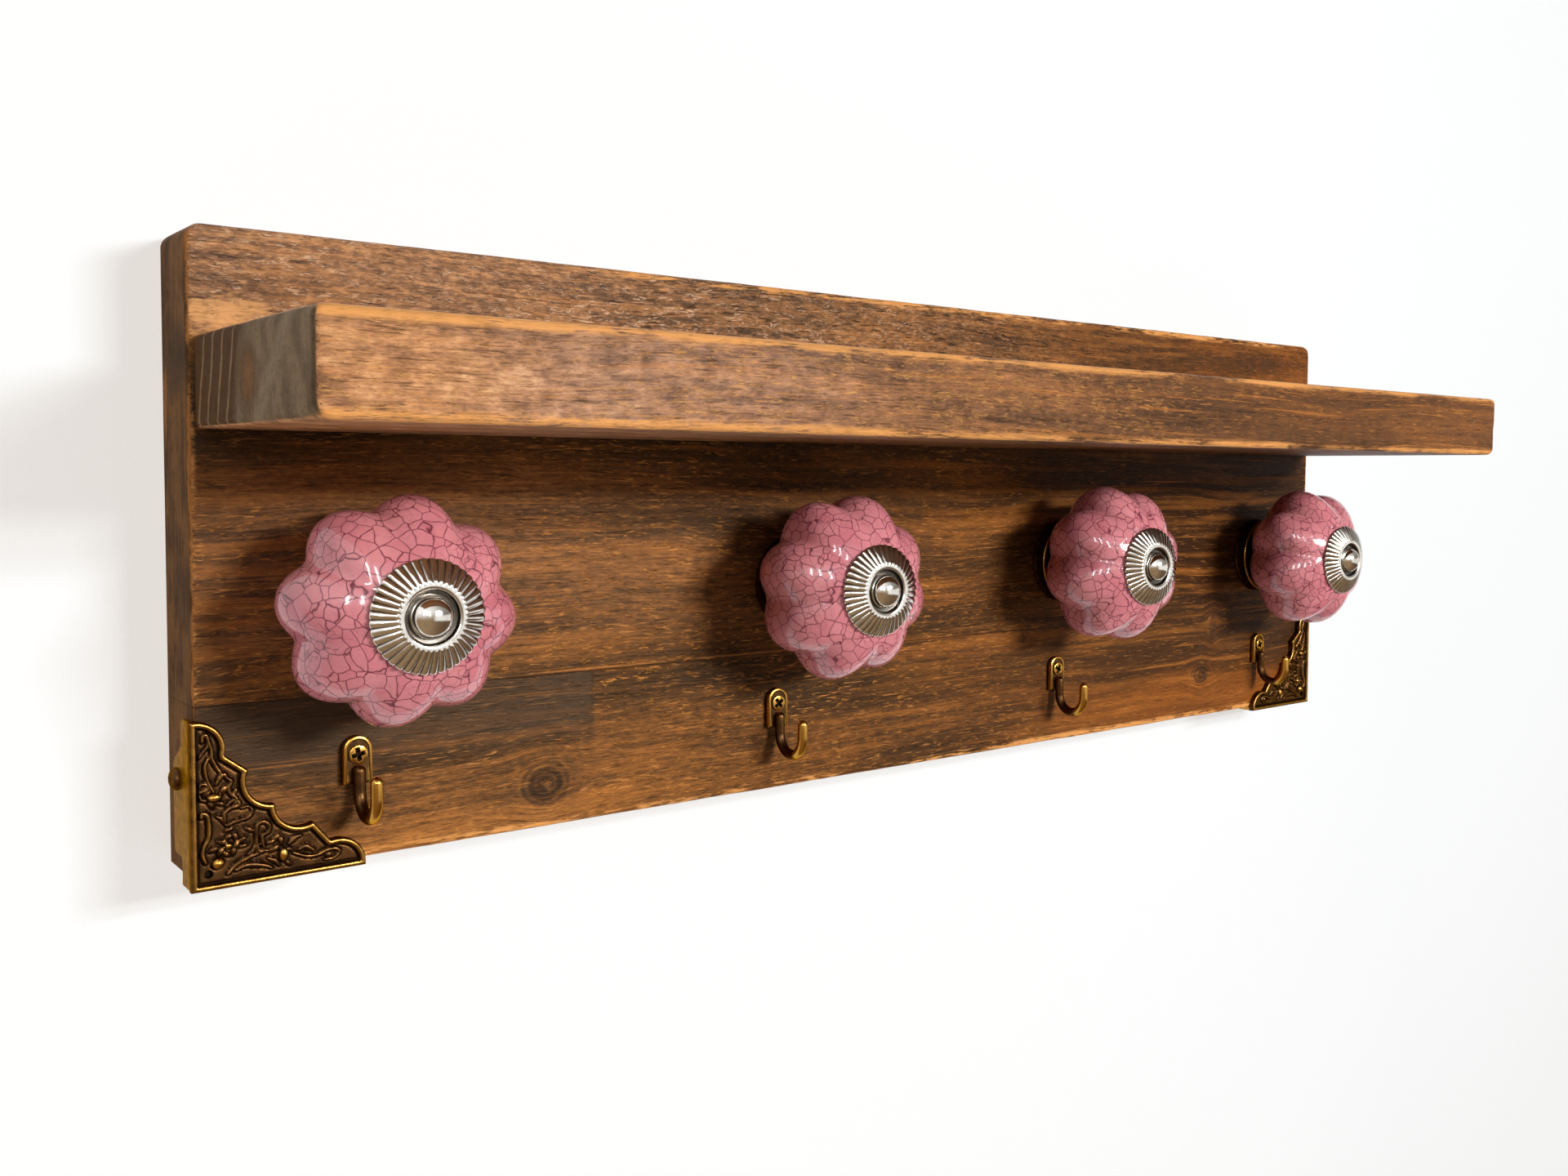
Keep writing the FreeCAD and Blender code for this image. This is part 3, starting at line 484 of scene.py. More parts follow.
def shelf_plan(g, w):
    """The shelf's tones, tints, worn places and end grain; the fall from light to dark along it is partly
    painted light.
    """
    x, y, z = w.x, w.y, w.z
    # much lighter towards the left end: partly the stain, partly a painted fall of light and sheen
    tone = 0.265 + 0.42 * x.step(50, -185) + (w.mottle - 0.5) * (0.14 + 0.90 * x.step(0, -150))
    tone += w.grit * (0.05 + 0.06 * x.step(60, -60))
    # deeper left of the middle and at the top left, rubbed at the top right
    tone -= 0.07 * x.step(-90, -50) * x.step(20, -5) + 0.08 * x.step(-150, -172) * z.step(30, 39)
    tone += 0.09 * x.step(120, 165) * z.step(30, 38)
    tints = (
        # darker and redder towards the right, partly the stain and partly a painted fall of light; greyer a
        # hand's breadth in from the left end
        (x.step(-140, 100), (0.82, 0.66, 0.36, 1), TINT),
        (x.step(-170, -135) * x.step(-60, -95), (0.88, 0.99, 1.28, 1), TINT),
    )
    arris = abs(g.low(SHELF_TOP - z, z - SHELF_LOW)) + abs(y - SHELF_FRONT)

    # end grain: grey in front with a pale slant, brown with ring lines behind, and a heart between them
    deep_in, haze = FRONT - y, w.haze - 0.5
    lean = deep_in - (z - SHELF_MID) * 0.28 + haze * 3
    rear = lean.step(32, 27)
    phase = g.math("FRACT", lean / 6.4 - 0.375)
    slant = deep_in - 49 - (z - SHELF_MID) * 1.05 + haze * 9
    heart = oval(g, deep_in, z, 35, 32.5, 7.5, 9) + haze * 1.4
    end_grain = g.layers(g.mix(w.haze.step(0.35, 0.65), rgb(106, 86, 64), rgb(136, 114, 88)), (
        (0.55 * abs(slant).step(5, 1.5), rgb(146, 126, 102)),
        (rear, rgb(74, 47, 22)),
        (0.70 * abs(phase - 0.5).step(0.13, 0.03) * rear, rgb(154, 122, 90)),
        (0.75 * heart.step(0.05, 0.5), rgb(92, 64, 40)),
        (0.6 * heart.step(0.45, 0.85), rgb(134, 88, 48)),
        (0.6 * (y - SHELF_FRONT).step(2.0, 0.6), rgb(58, 42, 30)),
    ))
    return SimpleNamespace(
        stain=(rgb(48, 28, 18), rgb(102, 70, 52), rgb(150, 104, 73), rgb(198, 140, 96), rgb(238, 182, 130)),
        shares=(0.58, 0.38, 0.42, 0.34, 0.22), tone=tone, tints=tints, stain_and_sheen=(), orange=0.15,
        line=(0.4 * w.squiggle + 0.6 * w.stroke) * w.broken.step(0.49, 0.60), lively=0.72,
        bare=rgb(236, 174, 104), check=0.6 * w.check, marks=(), end_grain=end_grain,
        arris=arris - 0.25 * x.step(-80, -185) + 0.35 * x.step(-130, 10), reach=(2.3, 0.9), cover=0.38,
        rubbed=1)


def wood(name, board):
    """Pine under a dark walnut stain, thin where the wood took less, rubbed at its edges, with painted shade
    and sheen laid on it.
    """
    g = material(name)
    w = grain_fields(g, board)
    plan = (board_plan if board else shelf_plan)(g, w)
    x, deep = w.x, plan.stain[0]

    # the grain is quieter towards the right
    calm = 0.45 + 0.55 * x.step(120, -50)
    broad, streak, *fine = plan.shares
    tone = calm * sum((part - 0.5) * share for part, share in zip((w.fibre, w.scratch, w.pore), fine))
    tone += (0.45 + 0.55 * calm) * ((w.broad - 0.5) * broad + (w.streak - 0.5) * streak) + plan.tone
    colour = g.ramp(tone, tuple(zip(STAIN_STOPS, plan.stain)))

    rich = g.noise(w.p, (0.020, 0.05, 0.05), 3, 0.6).step(0.36, 0.64)
    line = plan.line * (0.16 + 0.84 * x.step(110, -50))
    colour = g.layers(colour, (
        *plan.tints,
        # more orange in slow patches, then rubbed lines and flecks
        (plan.orange * rich * w.streak.step(0.44, 0.64), rgb(188, 114, 46)),
        (line * plan.lively * (0.42 + 0.44 * rich), g.mix(x.step(110, -60), rgb(206, 126, 54), plan.bare)),
        (w.fleck * calm * plan.lively * (0.34 + 0.40 * rich), rgb(222, 150, 78)),
        *plan.stain_and_sheen,
        # long golden lines, dark checks and pores
        (w.long_line * (0.26 + 0.16 * x.step(-20, 120)), rgb(206, 128, 54)),
        (0.85 * plan.check, deep),
        (0.40 * w.pore.step(0.38, 0.26), deep),
    ))

    # rubbed edges: a thin broken line along the arrises
    arris = plan.arris - (w.rub - 0.5) * 2.6 - (w.fibre - 0.5) * 1.6
    broke = w.rub + (w.fibre - 0.5) * 0.5 + (w.scratch - 0.5) * 0.65
    worn = arris.step(*plan.reach) * (1 - w.end) * broke.step(plan.cover - 0.06, plan.cover + 0.10)
    speck = g.noise(w.p, (2.0, 2.6, 2.6)).step(0.46, 0.28)
    end_grain = g.mix(0.45 * speck, plan.end_grain, rgb(44, 31, 22))
    rubbed = 0.85 * worn * plan.rubbed
    colour = g.layers(colour, ((rubbed, rgb(238, 166, 94)), *plan.marks, (w.end, end_grain)))

    rough = 0.40 + 0.25 * w.fibre + 0.35 * w.end
    height = 0.45 * w.fibre + 0.4 * w.pore + 0.6 * w.scratch + 0.45 * line - 0.45 * plan.check
    return g.surface(Base_Color=colour, Roughness=rough, Specular_IOR_Level=0.22,
                     Specular_Tint=(1.0, 0.74, 0.48, 1.0), Normal=g.bump(height, 0.00030, 0.9))


# Glaze and metals


def glaze(name):
    """Pink crackle glaze: wide cracks with a halo, hair cracks in patches, cells of uneven pink."""
    g = material(name)
    p = g.place()
    warp = g.shift(g.noise(p, 0.22, out=1), (-0.5, -0.5, -0.5))
    bent = g.shift(p, g.scale(warp, (2.2, 2.2, 2.2)))

    def cells(scale, feature, out=0):
        return g.node("TexVoronoi", {"Vector": bent, "Scale": scale, "Randomness": 1.0}, out, feature=feature)

    wide, fine = cells(0.33, "DISTANCE_TO_EDGE"), cells(0.47, "DISTANCE_TO_EDGE")
    tint = g.node("SeparateColor", {0: cells(0.33, "F1", 1)})
    line = wide.step(0.022 + 0.034 * g.noise(p, 0.4), 0.008)
    hair = fine.step(0.030, 0.012) * g.noise(p, 0.10).step(0.44, 0.56)
    crack = g.high(0.90 * line, 0.55 * hair)
    cloud = g.noise(p, 0.09, 3, 0.55)
    streak = g.noise(p, (1.1, 0.35, 1.1), 3, 0.6)
    colour = g.layers(g.mix(cloud.step(0.3, 0.7), rgb(200, 113, 124), rgb(222, 140, 146)), (
        (0.30 * tint, rgb(226, 156, 162)),
        (0.22 * streak.step(0.52, 0.70), rgb(168, 88, 108)),
        (0.28 * wide.step(0.10, 0.0), rgb(158, 80, 100)),
        (crack, rgb(106, 45, 59)),
    ))
    return g.surface(Base_Color=colour, Roughness=0.07 + 0.06 * cloud, Specular_IOR_Level=0.5,
                     Coat_Weight=0.3, Coat_Roughness=0.03, Normal=g.bump(crack * -1, 0.00004, 0.3))


def silver(name):
    """Silver plate, with painted shade in the flutes' hollows and the well, where it is also rougher."""
    g = material(name)
    p = g.place()
    scratch = g.noise(p, (4.0, 1.2, 4.0), 3, 0.6)
    dull = g.attribute("dull")
    colour = g.mix(g.noise(p, 0.35, 3, 0.6).step(0.3, 0.75), rgb(236, 232, 226), rgb(210, 204, 194))
    colour = g.mix(0.92 * dull.step(0.25, 0.95), colour, rgb(52, 44, 36))
    return g.surface(Base_Color=colour, Metallic=1.0, Roughness=0.06 + 0.10 * scratch + 0.18 * dull,
                     Normal=g.bump(scratch, 0.00002, 0.25))


def bronze(name):
    """Antique bronze: brass shows where it stands proud and is rubbed, dark patina in the recesses, and
    painted shade inside the collars' cups and the hook screws' cross recesses.
    """
    g = material(name)
    p = g.place()
    cloud = g.noise(p, 0.5, 3, 0.6)
    grain = g.noise(p, 3.5, 3, 0.6)
    rubbed = (g.attribute("proud") + (cloud - 0.5) * 0.6).step(0.30, 0.95)
    hollow = g.attribute("hollow").step(0.02, 0.5)
    field = g.mix(cloud.step(0.32, 0.70), rgb(66, 45, 27), rgb(98, 67, 38))
    colour = g.layers(field, ((rubbed, rgb(190, 142, 66)), (0.92 * hollow, rgb(24, 16, 10))))
    return g.surface(Base_Color=colour, Metallic=1.0, Specular_Tint=(0.78, 0.54, 0.28, 1.0),
                     Roughness=0.26 + 0.16 * grain - 0.10 * rubbed + 0.25 * hollow,
                     Normal=g.bump(grain, 0.00003, 0.45))


def steel(name):
    """Zinc plate, brushed, with a faint spangle."""
    g = material(name)
    p = g.place()
    brush = g.noise(p, (0.4, 3.0, 6.0), 4, 0.6)
    colour = g.mix(g.noise(p, 0.8).step(0.35, 0.65), rgb(168, 170, 172), rgb(196, 196, 192))
    return g.surface(Base_Color=colour, Metallic=1.0, Roughness=0.24 + 0.2 * brush,
                     Normal=g.bump(brush, 0.00002, 0.4))


BOARD_WOOD = wood("stained_pine_board", True)
SHELF_WOOD = wood("stained_pine_shelf", False)
GLAZE = glaze("crackle_glaze")
SILVER = silver("plated_silver")
BRONZE = bronze("antique_bronze")
STEEL = steel("zinc_steel")


# Boards


def smooth_noise(values, spacing, seed):
    """Slow random numbers from 0 to 1 along a length, by position."""
    source = np.random.default_rng(seed)
    knots = np.arange(values.min() - 3 * spacing, values.max() + 4 * spacing, spacing)
    levels = source.random(len(knots))
    t = (values - knots[0]) / spacing
    i = np.clip(t.astype(int), 0, len(knots) - 2)
    f = t - i
    f = f * f * (3 - 2 * f)
    return levels[i] * (1 - f) + levels[i + 1] * f


def fine_box(lo, hi):
    """Points and faces of a box, close together beside its edges."""
    near = np.array([0.0, 0.12, 0.28, 0.5, 0.75, 1.05, 1.5, 2.1, 3.0])
    ticks = [np.unique(np.concatenate([a + near, np.arange(a + 5.0, b - 4.5, 3.0), b - near]))
             for a, b in zip(lo, hi)]
    index, faces = {}, []
    for axis in range(3):
        a, b = [k for k in range(3) if k != axis]
        for side in (0, len(ticks[axis]) - 1):
            for i in range(len(ticks[a]) - 1):
                for j in range(len(ticks[b]) - 1):
                    face = []
                    for di, dj in ((0, 0), (1, 0), (1, 1), (0, 1)):
                        at = {axis: side, a: i + di, b: j + dj}
                        face.append(index.setdefault((at[0], at[1], at[2]), len(index)))
                    faces.append(face)
    return np.array([[ticks[k][key[k]] for k in range(3)] for key in index]), faces


def ease_edges(p, lo, hi, least, most, seed):
    """Rounds the edges of a box of points, by an uneven radius."""
    octant = ((p - lo) < (hi - p)) @ np.array([1, 2, 4])
    share = np.zeros(len(p))
    for c in np.unique(octant):
        pick = octant == c
        x, y, z = p[pick].T
        along = 0.6 * smooth_noise(x, 11.0, seed + c) + 0.4 * smooth_noise(x, 3.7, seed + 31 + c)
        up, deep = smooth_noise(z, 8.0, seed + 61 + c), smooth_noise(y, 8.0, seed + 91 + c)
        share[pick] = (along * 0.7 + 0.15 * up + 0.15 * deep) ** 1.6
    ease = (least + (most - least) * share)[:, None]
    q = np.minimum(np.maximum(p, lo + ease), hi - ease)
    length = np.linalg.norm(p - q, axis=1)
    moved = length > 1e-9
    p[moved] = q[moved] + (p - q)[moved] / length[moved, None] * ease[moved]


def worn_plank(name, node, lo, hi, least, most, seed, corners):
    """The plank's CAD solid inside a box whose edges are eased unevenly, as by hand.

    Corners worn round in elevation have an end and a level, 1 or -1, a radius and a depth from the front.
    """
    lo, hi = np.array(lo) + 0.015, np.array(hi) - 0.015
    p, faces = fine_box(lo, hi)
    ease_edges(p, lo, hi, least, most, seed)
    for end, level, radius, deep in corners:
        u = (p[:, 0] - (hi[0] if end > 0 else lo[0])) * end + radius
        v = (p[:, 2] - (hi[2] if level > 0 else lo[2])) * level + radius
        pick = (u > 0) & (v > 0)
        u, v = u[pick] / radius, v[pick] / radius
        share = radius * np.clip((lo[1] + deep - p[pick, 1]) / deep, 0, 1)
        p[pick, 0] += end * share * u * (np.sqrt(1 - v * v / 2) - 1)
        p[pick, 2] += level * share * v * (np.sqrt(1 - u * u / 2) - 1)
    box = new_object(name, p, faces, 50.0)
    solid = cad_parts[node].copy()
    solid.data = solid.data.copy()
    for key in list(solid.keys()):
        del solid[key]
    solid.parent = None
    bpy.context.scene.collection.objects.link(solid)
    bm = bmesh.new()
    bm.from_mesh(solid.data)
    bmesh.ops.remove_doubles(bm, verts=bm.verts, dist=1e-7)
    bm.to_mesh(solid.data)
    bm.free()
    boolean(box, solid, "INTERSECT")
    shade(box, 40.0)
    return box


# the shelf ends this much inside the board's ends; a worn corner that deep goes right through its plank
SHELF_SHORT, WHOLE_DEPTH = 1.1, 900.0
board = worn_plank("worn_back_board", "back_board", (-HALF_LONG, FRONT, -HALF_HIGH),
                   (HALF_LONG, 0.0, HALF_HIGH), least=0.7, most=1.9, seed=11,
                   corners=((-1, 1, 3.0, WHOLE_DEPTH), (1, 1, 3.8, WHOLE_DEPTH)))
stand(board, BOARD_WOOD, "frame", "back_board")
shelf = worn_plank("worn_shelf_board", "shelf_board", (-HALF_LONG + SHELF_SHORT, SHELF_FRONT, SHELF_LOW),
                   (HALF_LONG - SHELF_SHORT, FRONT, SHELF_TOP), least=1.1, most=2.4, seed=23,
                   corners=((-1, 1, 2.0, 8.0), (-1, -1, 3.2, 8.0), (1, 1, 2.0, 8.0), (1, -1, 2.0, 8.0)))
stand(shelf, SHELF_WOOD, "frame", "shelf_board")


# Knobs

# the ceramic: radius, half depth, and how far its middle stands out from the board
CERAMIC_R, CERAMIC_HALF, CERAMIC_OUT = 23.1, 15.7, 20.5
SEAT_R, LAND_R, ROSETTE_R, BORE = 6.5, 6.8, 11.05, 2.08
LOBES, FLUTES = 8, 40
COLLAR_GAP = 0.03


def half_depth(radius):
    """The ceramic's half depth at a distance from its axis."""
    return CERAMIC_HALF * math.cos(math.asin(radius / CERAMIC_R))


# heights over the board
SEAT = CERAMIC_OUT - half_depth(SEAT_R)
LAND = CERAMIC_OUT + half_depth(LAND_R)
RIM_LOW = CERAMIC_OUT + half_depth(ROSETTE_R) + 0.38
RIM_TOP = RIM_LOW + 0.5
CAP_TOP = LAND + 2.0
WELL_FLOOR = LAND + 0.7


def knob_body(x, z, turn, seed):
    """Eight rounded lobes between the seat and the land, with the bore."""
    source = np.random.default_rng(seed)
    swell = source.uniform(0.0, 0.012, LOBES)
    lean = source.uniform(-0.012, 0.012, LOBES)
    around, along = 192, 72
    first = math.asin(SEAT_R / CERAMIC_R)
    last = math.pi - math.asin(LAND_R / CERAMIC_R)
    rows = [circle(x, z, BORE, SEAT, around)]
    for i in range(along + 1):
        share = i / along
        polar = first + (last - first) * share
        high = CERAMIC_OUT - CERAMIC_HALF * math.cos(polar)
        fade = math.sin(math.pi * share) ** 0.5 if 0 < share < 1 else 0.0
        row = []
        for j in range(around):
            angle = 2 * math.pi * j / around
            lobe = (angle * LOBES / (2 * math.pi) + 0.5) % LOBES
            k = int(lobe)
            blend = math.sin(math.pi * (lobe - k)) ** 2
            dip = (1.0 - math.hypot(math.cos(LOBES / 2 * (angle + lean[k] * blend)), 0.16)) / 0.84
            radius = CERAMIC_R * math.sin(polar) * (1 - 0.14 * fade * max(dip, 0.0))
            radius *= 1 - swell[k] * fade * blend
            row.append(out_point(x, z, radius, angle + math.radians(turn), high))
        rows.append(row)
    rows.append(circle(x, z, BORE, LAND, around))
    return ring_mesh(rows, capped=False)


def rosette(x, z, turn):
    """Stamped cap washer with radial flutes and a scalloped edge, and how far each of its points is painted
    dark and rough: painted shade in the flutes and the well.
    """
    n = FLUTES * 10
    # radius, height and depth of the flutes: the rim, the fluted cone, the ring, the well and the underside
    profile = [(10.65, RIM_LOW, 0.0), (10.95, RIM_LOW, 0.6), (ROSETTE_R, RIM_LOW + 0.15, 1.0),
               (ROSETTE_R, RIM_TOP - 0.12, 1.0), (10.95, RIM_TOP + 0.05, 1.0)]
    for i in range(1, 13):
        t = i / 13
        r = 10.95 + (7.0 - 10.95) * t
        h = RIM_TOP + 0.05 + (CAP_TOP - 0.14 - RIM_TOP - 0.05) * t + 0.10 * math.sin(math.pi * t)
        profile.append((r, h, 1.0 - 0.35 * t))
    profile += [(6.95, CAP_TOP - 0.10, 0.65), (6.72, CAP_TOP - 0.02, 0.55), (6.4, CAP_TOP, 0.10)]
    profile += [(r, h, 0.0) for r, h in (
        (6.0, CAP_TOP), (5.6, CAP_TOP - 0.03), (5.36, CAP_TOP - 0.12), (5.24, CAP_TOP - 0.3),
        (5.2, CAP_TOP - 0.55), (5.2, WELL_FLOOR + 0.3), (5.1, WELL_FLOOR + 0.08), (4.8, WELL_FLOOR),
        (BORE, WELL_FLOOR), (BORE, LAND), (LAND_R, LAND))]
    rows, dull = [], []
    for r, h, share in profile:
        row = []
        in_well = r > 4.1 and h < CAP_TOP - 0.2
        for j in range(n):
            angle = 2 * math.pi * j / n
            deep = share * (1 - abs(math.cos(FLUTES / 2 * angle)) ** 0.75)
            outer = max(0.0, (r - 9.6) / 1.45)
            row.append(out_point(x, z, r - 0.22 * deep * outer, angle + math.radians(turn), h - 0.34 * deep))
            # the flutes' hollows and the well round the dome are painted dark and made rougher: painted shade
            dull.append(deep if r > 5.3 else float(in_well))
        rows.append(row)
    return *ring_mesh(rows, capped=False), dull


def knob_bolt(x, z):
    """Domed bolt through the ceramic, the collar and the board, with a few turns of thread at its end."""
    rear, thread_end, pitch = -19.6, -13.5, 0.7
    profile = [(0.0, rear), (1.55, rear)]
    level = rear + 0.15
    while level < thread_end:
        profile += [(1.98, level), (1.98, level + 0.1), (1.66, level + 0.35), (1.66, level + 0.45)]
        level += pitch
    profile += [(2.0, level), (2.0, WELL_FLOOR), (4.05, WELL_FLOOR), (4.2, WELL_FLOOR + 0.15),
                (4.2, WELL_FLOOR + 0.6), (4.12, WELL_FLOOR + 0.74), (3.98, WELL_FLOOR + 0.8)]
    for i in range(1, 17):
        t = math.pi / 2 * i / 16
        profile.append((3.9 * math.cos(t) if i < 16 else 0.0, WELL_FLOOR + 0.8 + 2.7 * math.sin(t)))
    return lathe(profile, 64, lambda r, a, h: out_point(x, z, r, a, h))


def collar(x, z):
    """Cup between the board and the ceramic, with a rolled bead and a boss for the seat, and its marks."""
    boss = SEAT - COLLAR_GAP
    profile = [(2.0, 0.0), (12.0, 0.0), (12.3, 0.25), (12.3, 0.8), (12.12, 1.1), (12.05, 1.5), (12.05, 3.5),
               (12.2, 3.8)]
    profile += [(11.8 + 0.5 * math.cos(math.radians(a)), 4.2 + 0.5 * math.sin(math.radians(a)))
                for a in range(-20, 201, 20)]
    profile += [(11.3, 3.7), (11.3, 1.6), (10.9, 1.2), (7.2, 1.2), (6.6, 1.6), (SEAT_R, 2.0), (SEAT_R, boss),
                (2.0, boss)]
    n = 96
    proud, hollow = [], []
    for r, h in profile:
        proud += [0.8 if r > 11.35 and h > 4.25 else (0.30 if r > 12.2 else 0.0)] * n
        # the inside of the cup, under the ceramic, is painted near black: painted shade
        hollow += [float(r < 11.3 and h > 1.0)] * n
    return *ring_mesh([circle(x, z, r, h, n) for r, h in profile], capped=False), proud, hollow


bolt_parts = []
for number, (x, z, turn) in enumerate(KNOBS, 1):
    tag = "_%d" % number
    body = new_object("ceramic_knob" + tag, *knob_body(x, z, turn, 40 + number), 40.0)
    stand(body, GLAZE, "knob" + tag, "knob_body" + tag)
    verts, faces, dull = rosette(x, z, turn * 1.7)
    cap = new_object("fluted_rosette" + tag, verts, faces, 60.0)
    mark(cap, dull=dull)
    stand(cap, SILVER, "knob" + tag, "knob_rosette" + tag)
    verts, faces, proud, hollow = collar(x, z)
    cup = new_object("collar_cup" + tag, verts, faces, 40.0)
    mark(cup, proud=proud, hollow=hollow)
    stand(cup, BRONZE, "frame", "knob_collar" + tag)
    bolt_parts.append(knob_bolt(x, z))
bolts = new_object("domed_bolts", *merge(bolt_parts), 40.0)
stand(bolts, SILVER, "frame", "knob_bolts")


# Screws with a cross recess

FORWARD, BACK, UP = (0, -1, 0), (0, 1, 0), (0, 0, 1)
HOOK_HEAD = 2.0
# the bracket's sheet, and its screws' place along the leg and in from the face
SHEET, SCREW_ALONG, SCREW_IN, DOME = 1.1, 19.5, 9.0, 1.4
HANGER_X = 140.0


def cross_tool(long, wide, deep, place):
    """A tapered cross that cuts a recess: place turns (across, up, out) into a point."""
    half, arm = wide / 2, long / 2
    ring = [(half, arm), (half, half), (arm, half)]
    for _ in range(3):
        ring += [(b, -a) for a, b in ring[-3:]]
    levels = ((1.0, 1.06), (0.0, 1.0), (-deep, 0.55))
    rows = [[place(a * share, b * share, level) for a, b in ring] for level, share in levels]
    return new_object("cross", *ring_mesh(rows))


def axes(at, out, up):
    """A place function for a screw: at in mm, out the way that the head faces."""
    at, out, up = Vector(at), Vector(out).normalized(), Vector(up).normalized()
    across = up.cross(out)
    return lambda a, b, c: tuple(at + across * a + up * b + out * c)


def screw(place, profile, cross, turn, top=0.0):
    """A turned form with a recess of a length, a width and a depth, cut in from the top."""
    cos, sin = math.cos(math.radians(turn)), math.sin(math.radians(turn))
    verts, faces = lathe(profile, 40, lambda r, a, h: place(r * math.sin(a), r * math.cos(a), h))
    tool = cross_tool(*cross, lambda a, b, c: place(a * cos - b * sin, a * sin + b * cos, top + c))
    return boolean(new_object("screw", verts, faces, 40.0), tool, "DIFFERENCE")


def flat_head(radius, head, head_high, long, tip):
    """Profile of a countersunk screw: shank and head radius, head height, length, and length of the point."""
    return [(0.0, -long), (radius / 5, -long), (radius, tip - long), (radius, -head_high),
            (head - 0.1, -0.12), (head, -0.05), (head - 0.08, 0.0), (0.0, 0.0)]


small = flat_head(1.1, 1.9, 1.1, 13.0, 2.5)
hook_screws = joined("cross_hook_screws", [
    screw(axes((x, FRONT - HOOK_HEAD, z), FORWARD, UP), small, (2.9, 0.95, 0.8), turn)
    for (x, z), turn in zip(HOOKS, (12, 38, 64, 21))])
# the cross recesses are painted near black: painted shade; the heads round them show rubbed brass
sunk = np.clip((points_mm(hook_screws)[:, 1] - (FRONT - HOOK_HEAD + 0.03)) / 0.12, 0, 1)
mark(hook_screws, proud=1.0 - sunk, hollow=sunk)
stand(hook_screws, BRONZE, "frame", "hook_screws")

pan = [(0.0, -11.0), (0.22, -11.0), (1.1, -8.5), (1.1, 0.0)]
pan += [(2.3 * math.cos(t), DOME * math.sin(t)) for t in np.arange(8) * 0.2] + [(0.0, DOME)]
bracket_screw_list = []
for side in (-1, 1):
    end = axes((side * (HALF_LONG + SHEET), FRONT + SCREW_IN, -HALF_HIGH + SCREW_ALONG), (side, 0, 0), UP)
    under = axes((side * (HALF_LONG - SCREW_ALONG), FRONT + SCREW_IN, -HALF_HIGH - SHEET), (0, 0, -1),
                 (1, 0, 0))
    for place, turn in ((end, 25 + 13 * side), (under, 65 + 13 * side)):
        bracket_screw_list.append(screw(place, pan, (2.5, 0.6, 0.8), turn, DOME - 0.1))
bracket_screws = joined("pan_bracket_screws", bracket_screw_list)
p = points_mm(bracket_screws)
reach = np.maximum(np.abs(p[:, 0]) - HALF_LONG - SHEET, -HALF_HIGH - SHEET - p[:, 2])
mark(bracket_screws, proud=np.clip(reach / DOME, 0, 1) * 0.25, hollow=np.full(len(p), 0.12))
stand(bracket_screws, BRONZE, "frame", "bracket_screws")

shelf_screws = joined("cross_shelf_screws", [
    screw(axes((x, -0.6, SHELF_MID), BACK, UP), flat_head(2.0, 4.0, 2.3, 50.0, 5.0), (5.0, 1.1, 1.6),
          20 + 35 * number)
    for number, x in enumerate((-165.0, -55.0, 55.0, 165.0))])
stand(shelf_screws, STEEL, "frame", "shelf_screws")
hanger_screws = joined("cross_hanger_screws", [
    screw(axes((side * HANGER_X, 0.0, z), BACK, UP), flat_head(1.3, 2.6, 1.3, 13.0, 2.5), (3.2, 0.75, 0.9),
          10 + 50 * number + 20 * side)
    for side in (-1, 1) for number, z in enumerate((55.4, 24.6))])
stand(hanger_screws, STEEL, "frame", "hanger_screws")


# Key hooks

# the plate: half width, how far its round top's centre lies over the screw and its foot below, thickness
PLATE_HALF, PLATE_ROUND, PLATE_FOOT, PLATE_THICK = 2.95, 0.9, 6.1, 1.7
# the J: its wire, how far below the screw it starts to turn and how far out, and the turn's radius
WIRE_R, TURN_DOWN, TURN_OUT, TURN_R = 1.25, 7.4, 2.4, 4.9


def plate_form(x, z):
    """A round-topped plate with eased front edges and a sunk face."""
    ring = [(x - PLATE_HALF, z - PLATE_FOOT), (x + PLATE_HALF, z - PLATE_FOOT)]
    ring += [(x + PLATE_HALF * math.cos(a), z + PLATE_ROUND + PLATE_HALF * math.sin(a))
             for a in np.linspace(0.0, math.pi, 25)]
    ring = np.array(ring)
    normal = inward_normals(ring)
    front, ease = FRONT - PLATE_THICK, 0.42
    steps = ((0.0, FRONT), (0.0, front + ease), (ease * 0.3, front + ease * 0.3), (ease, front),
             (0.62, front), (0.80, front + 0.16))
    return ring_mesh([[(a, deep, b) for a, b in ring + normal * inset] for inset, deep in steps])


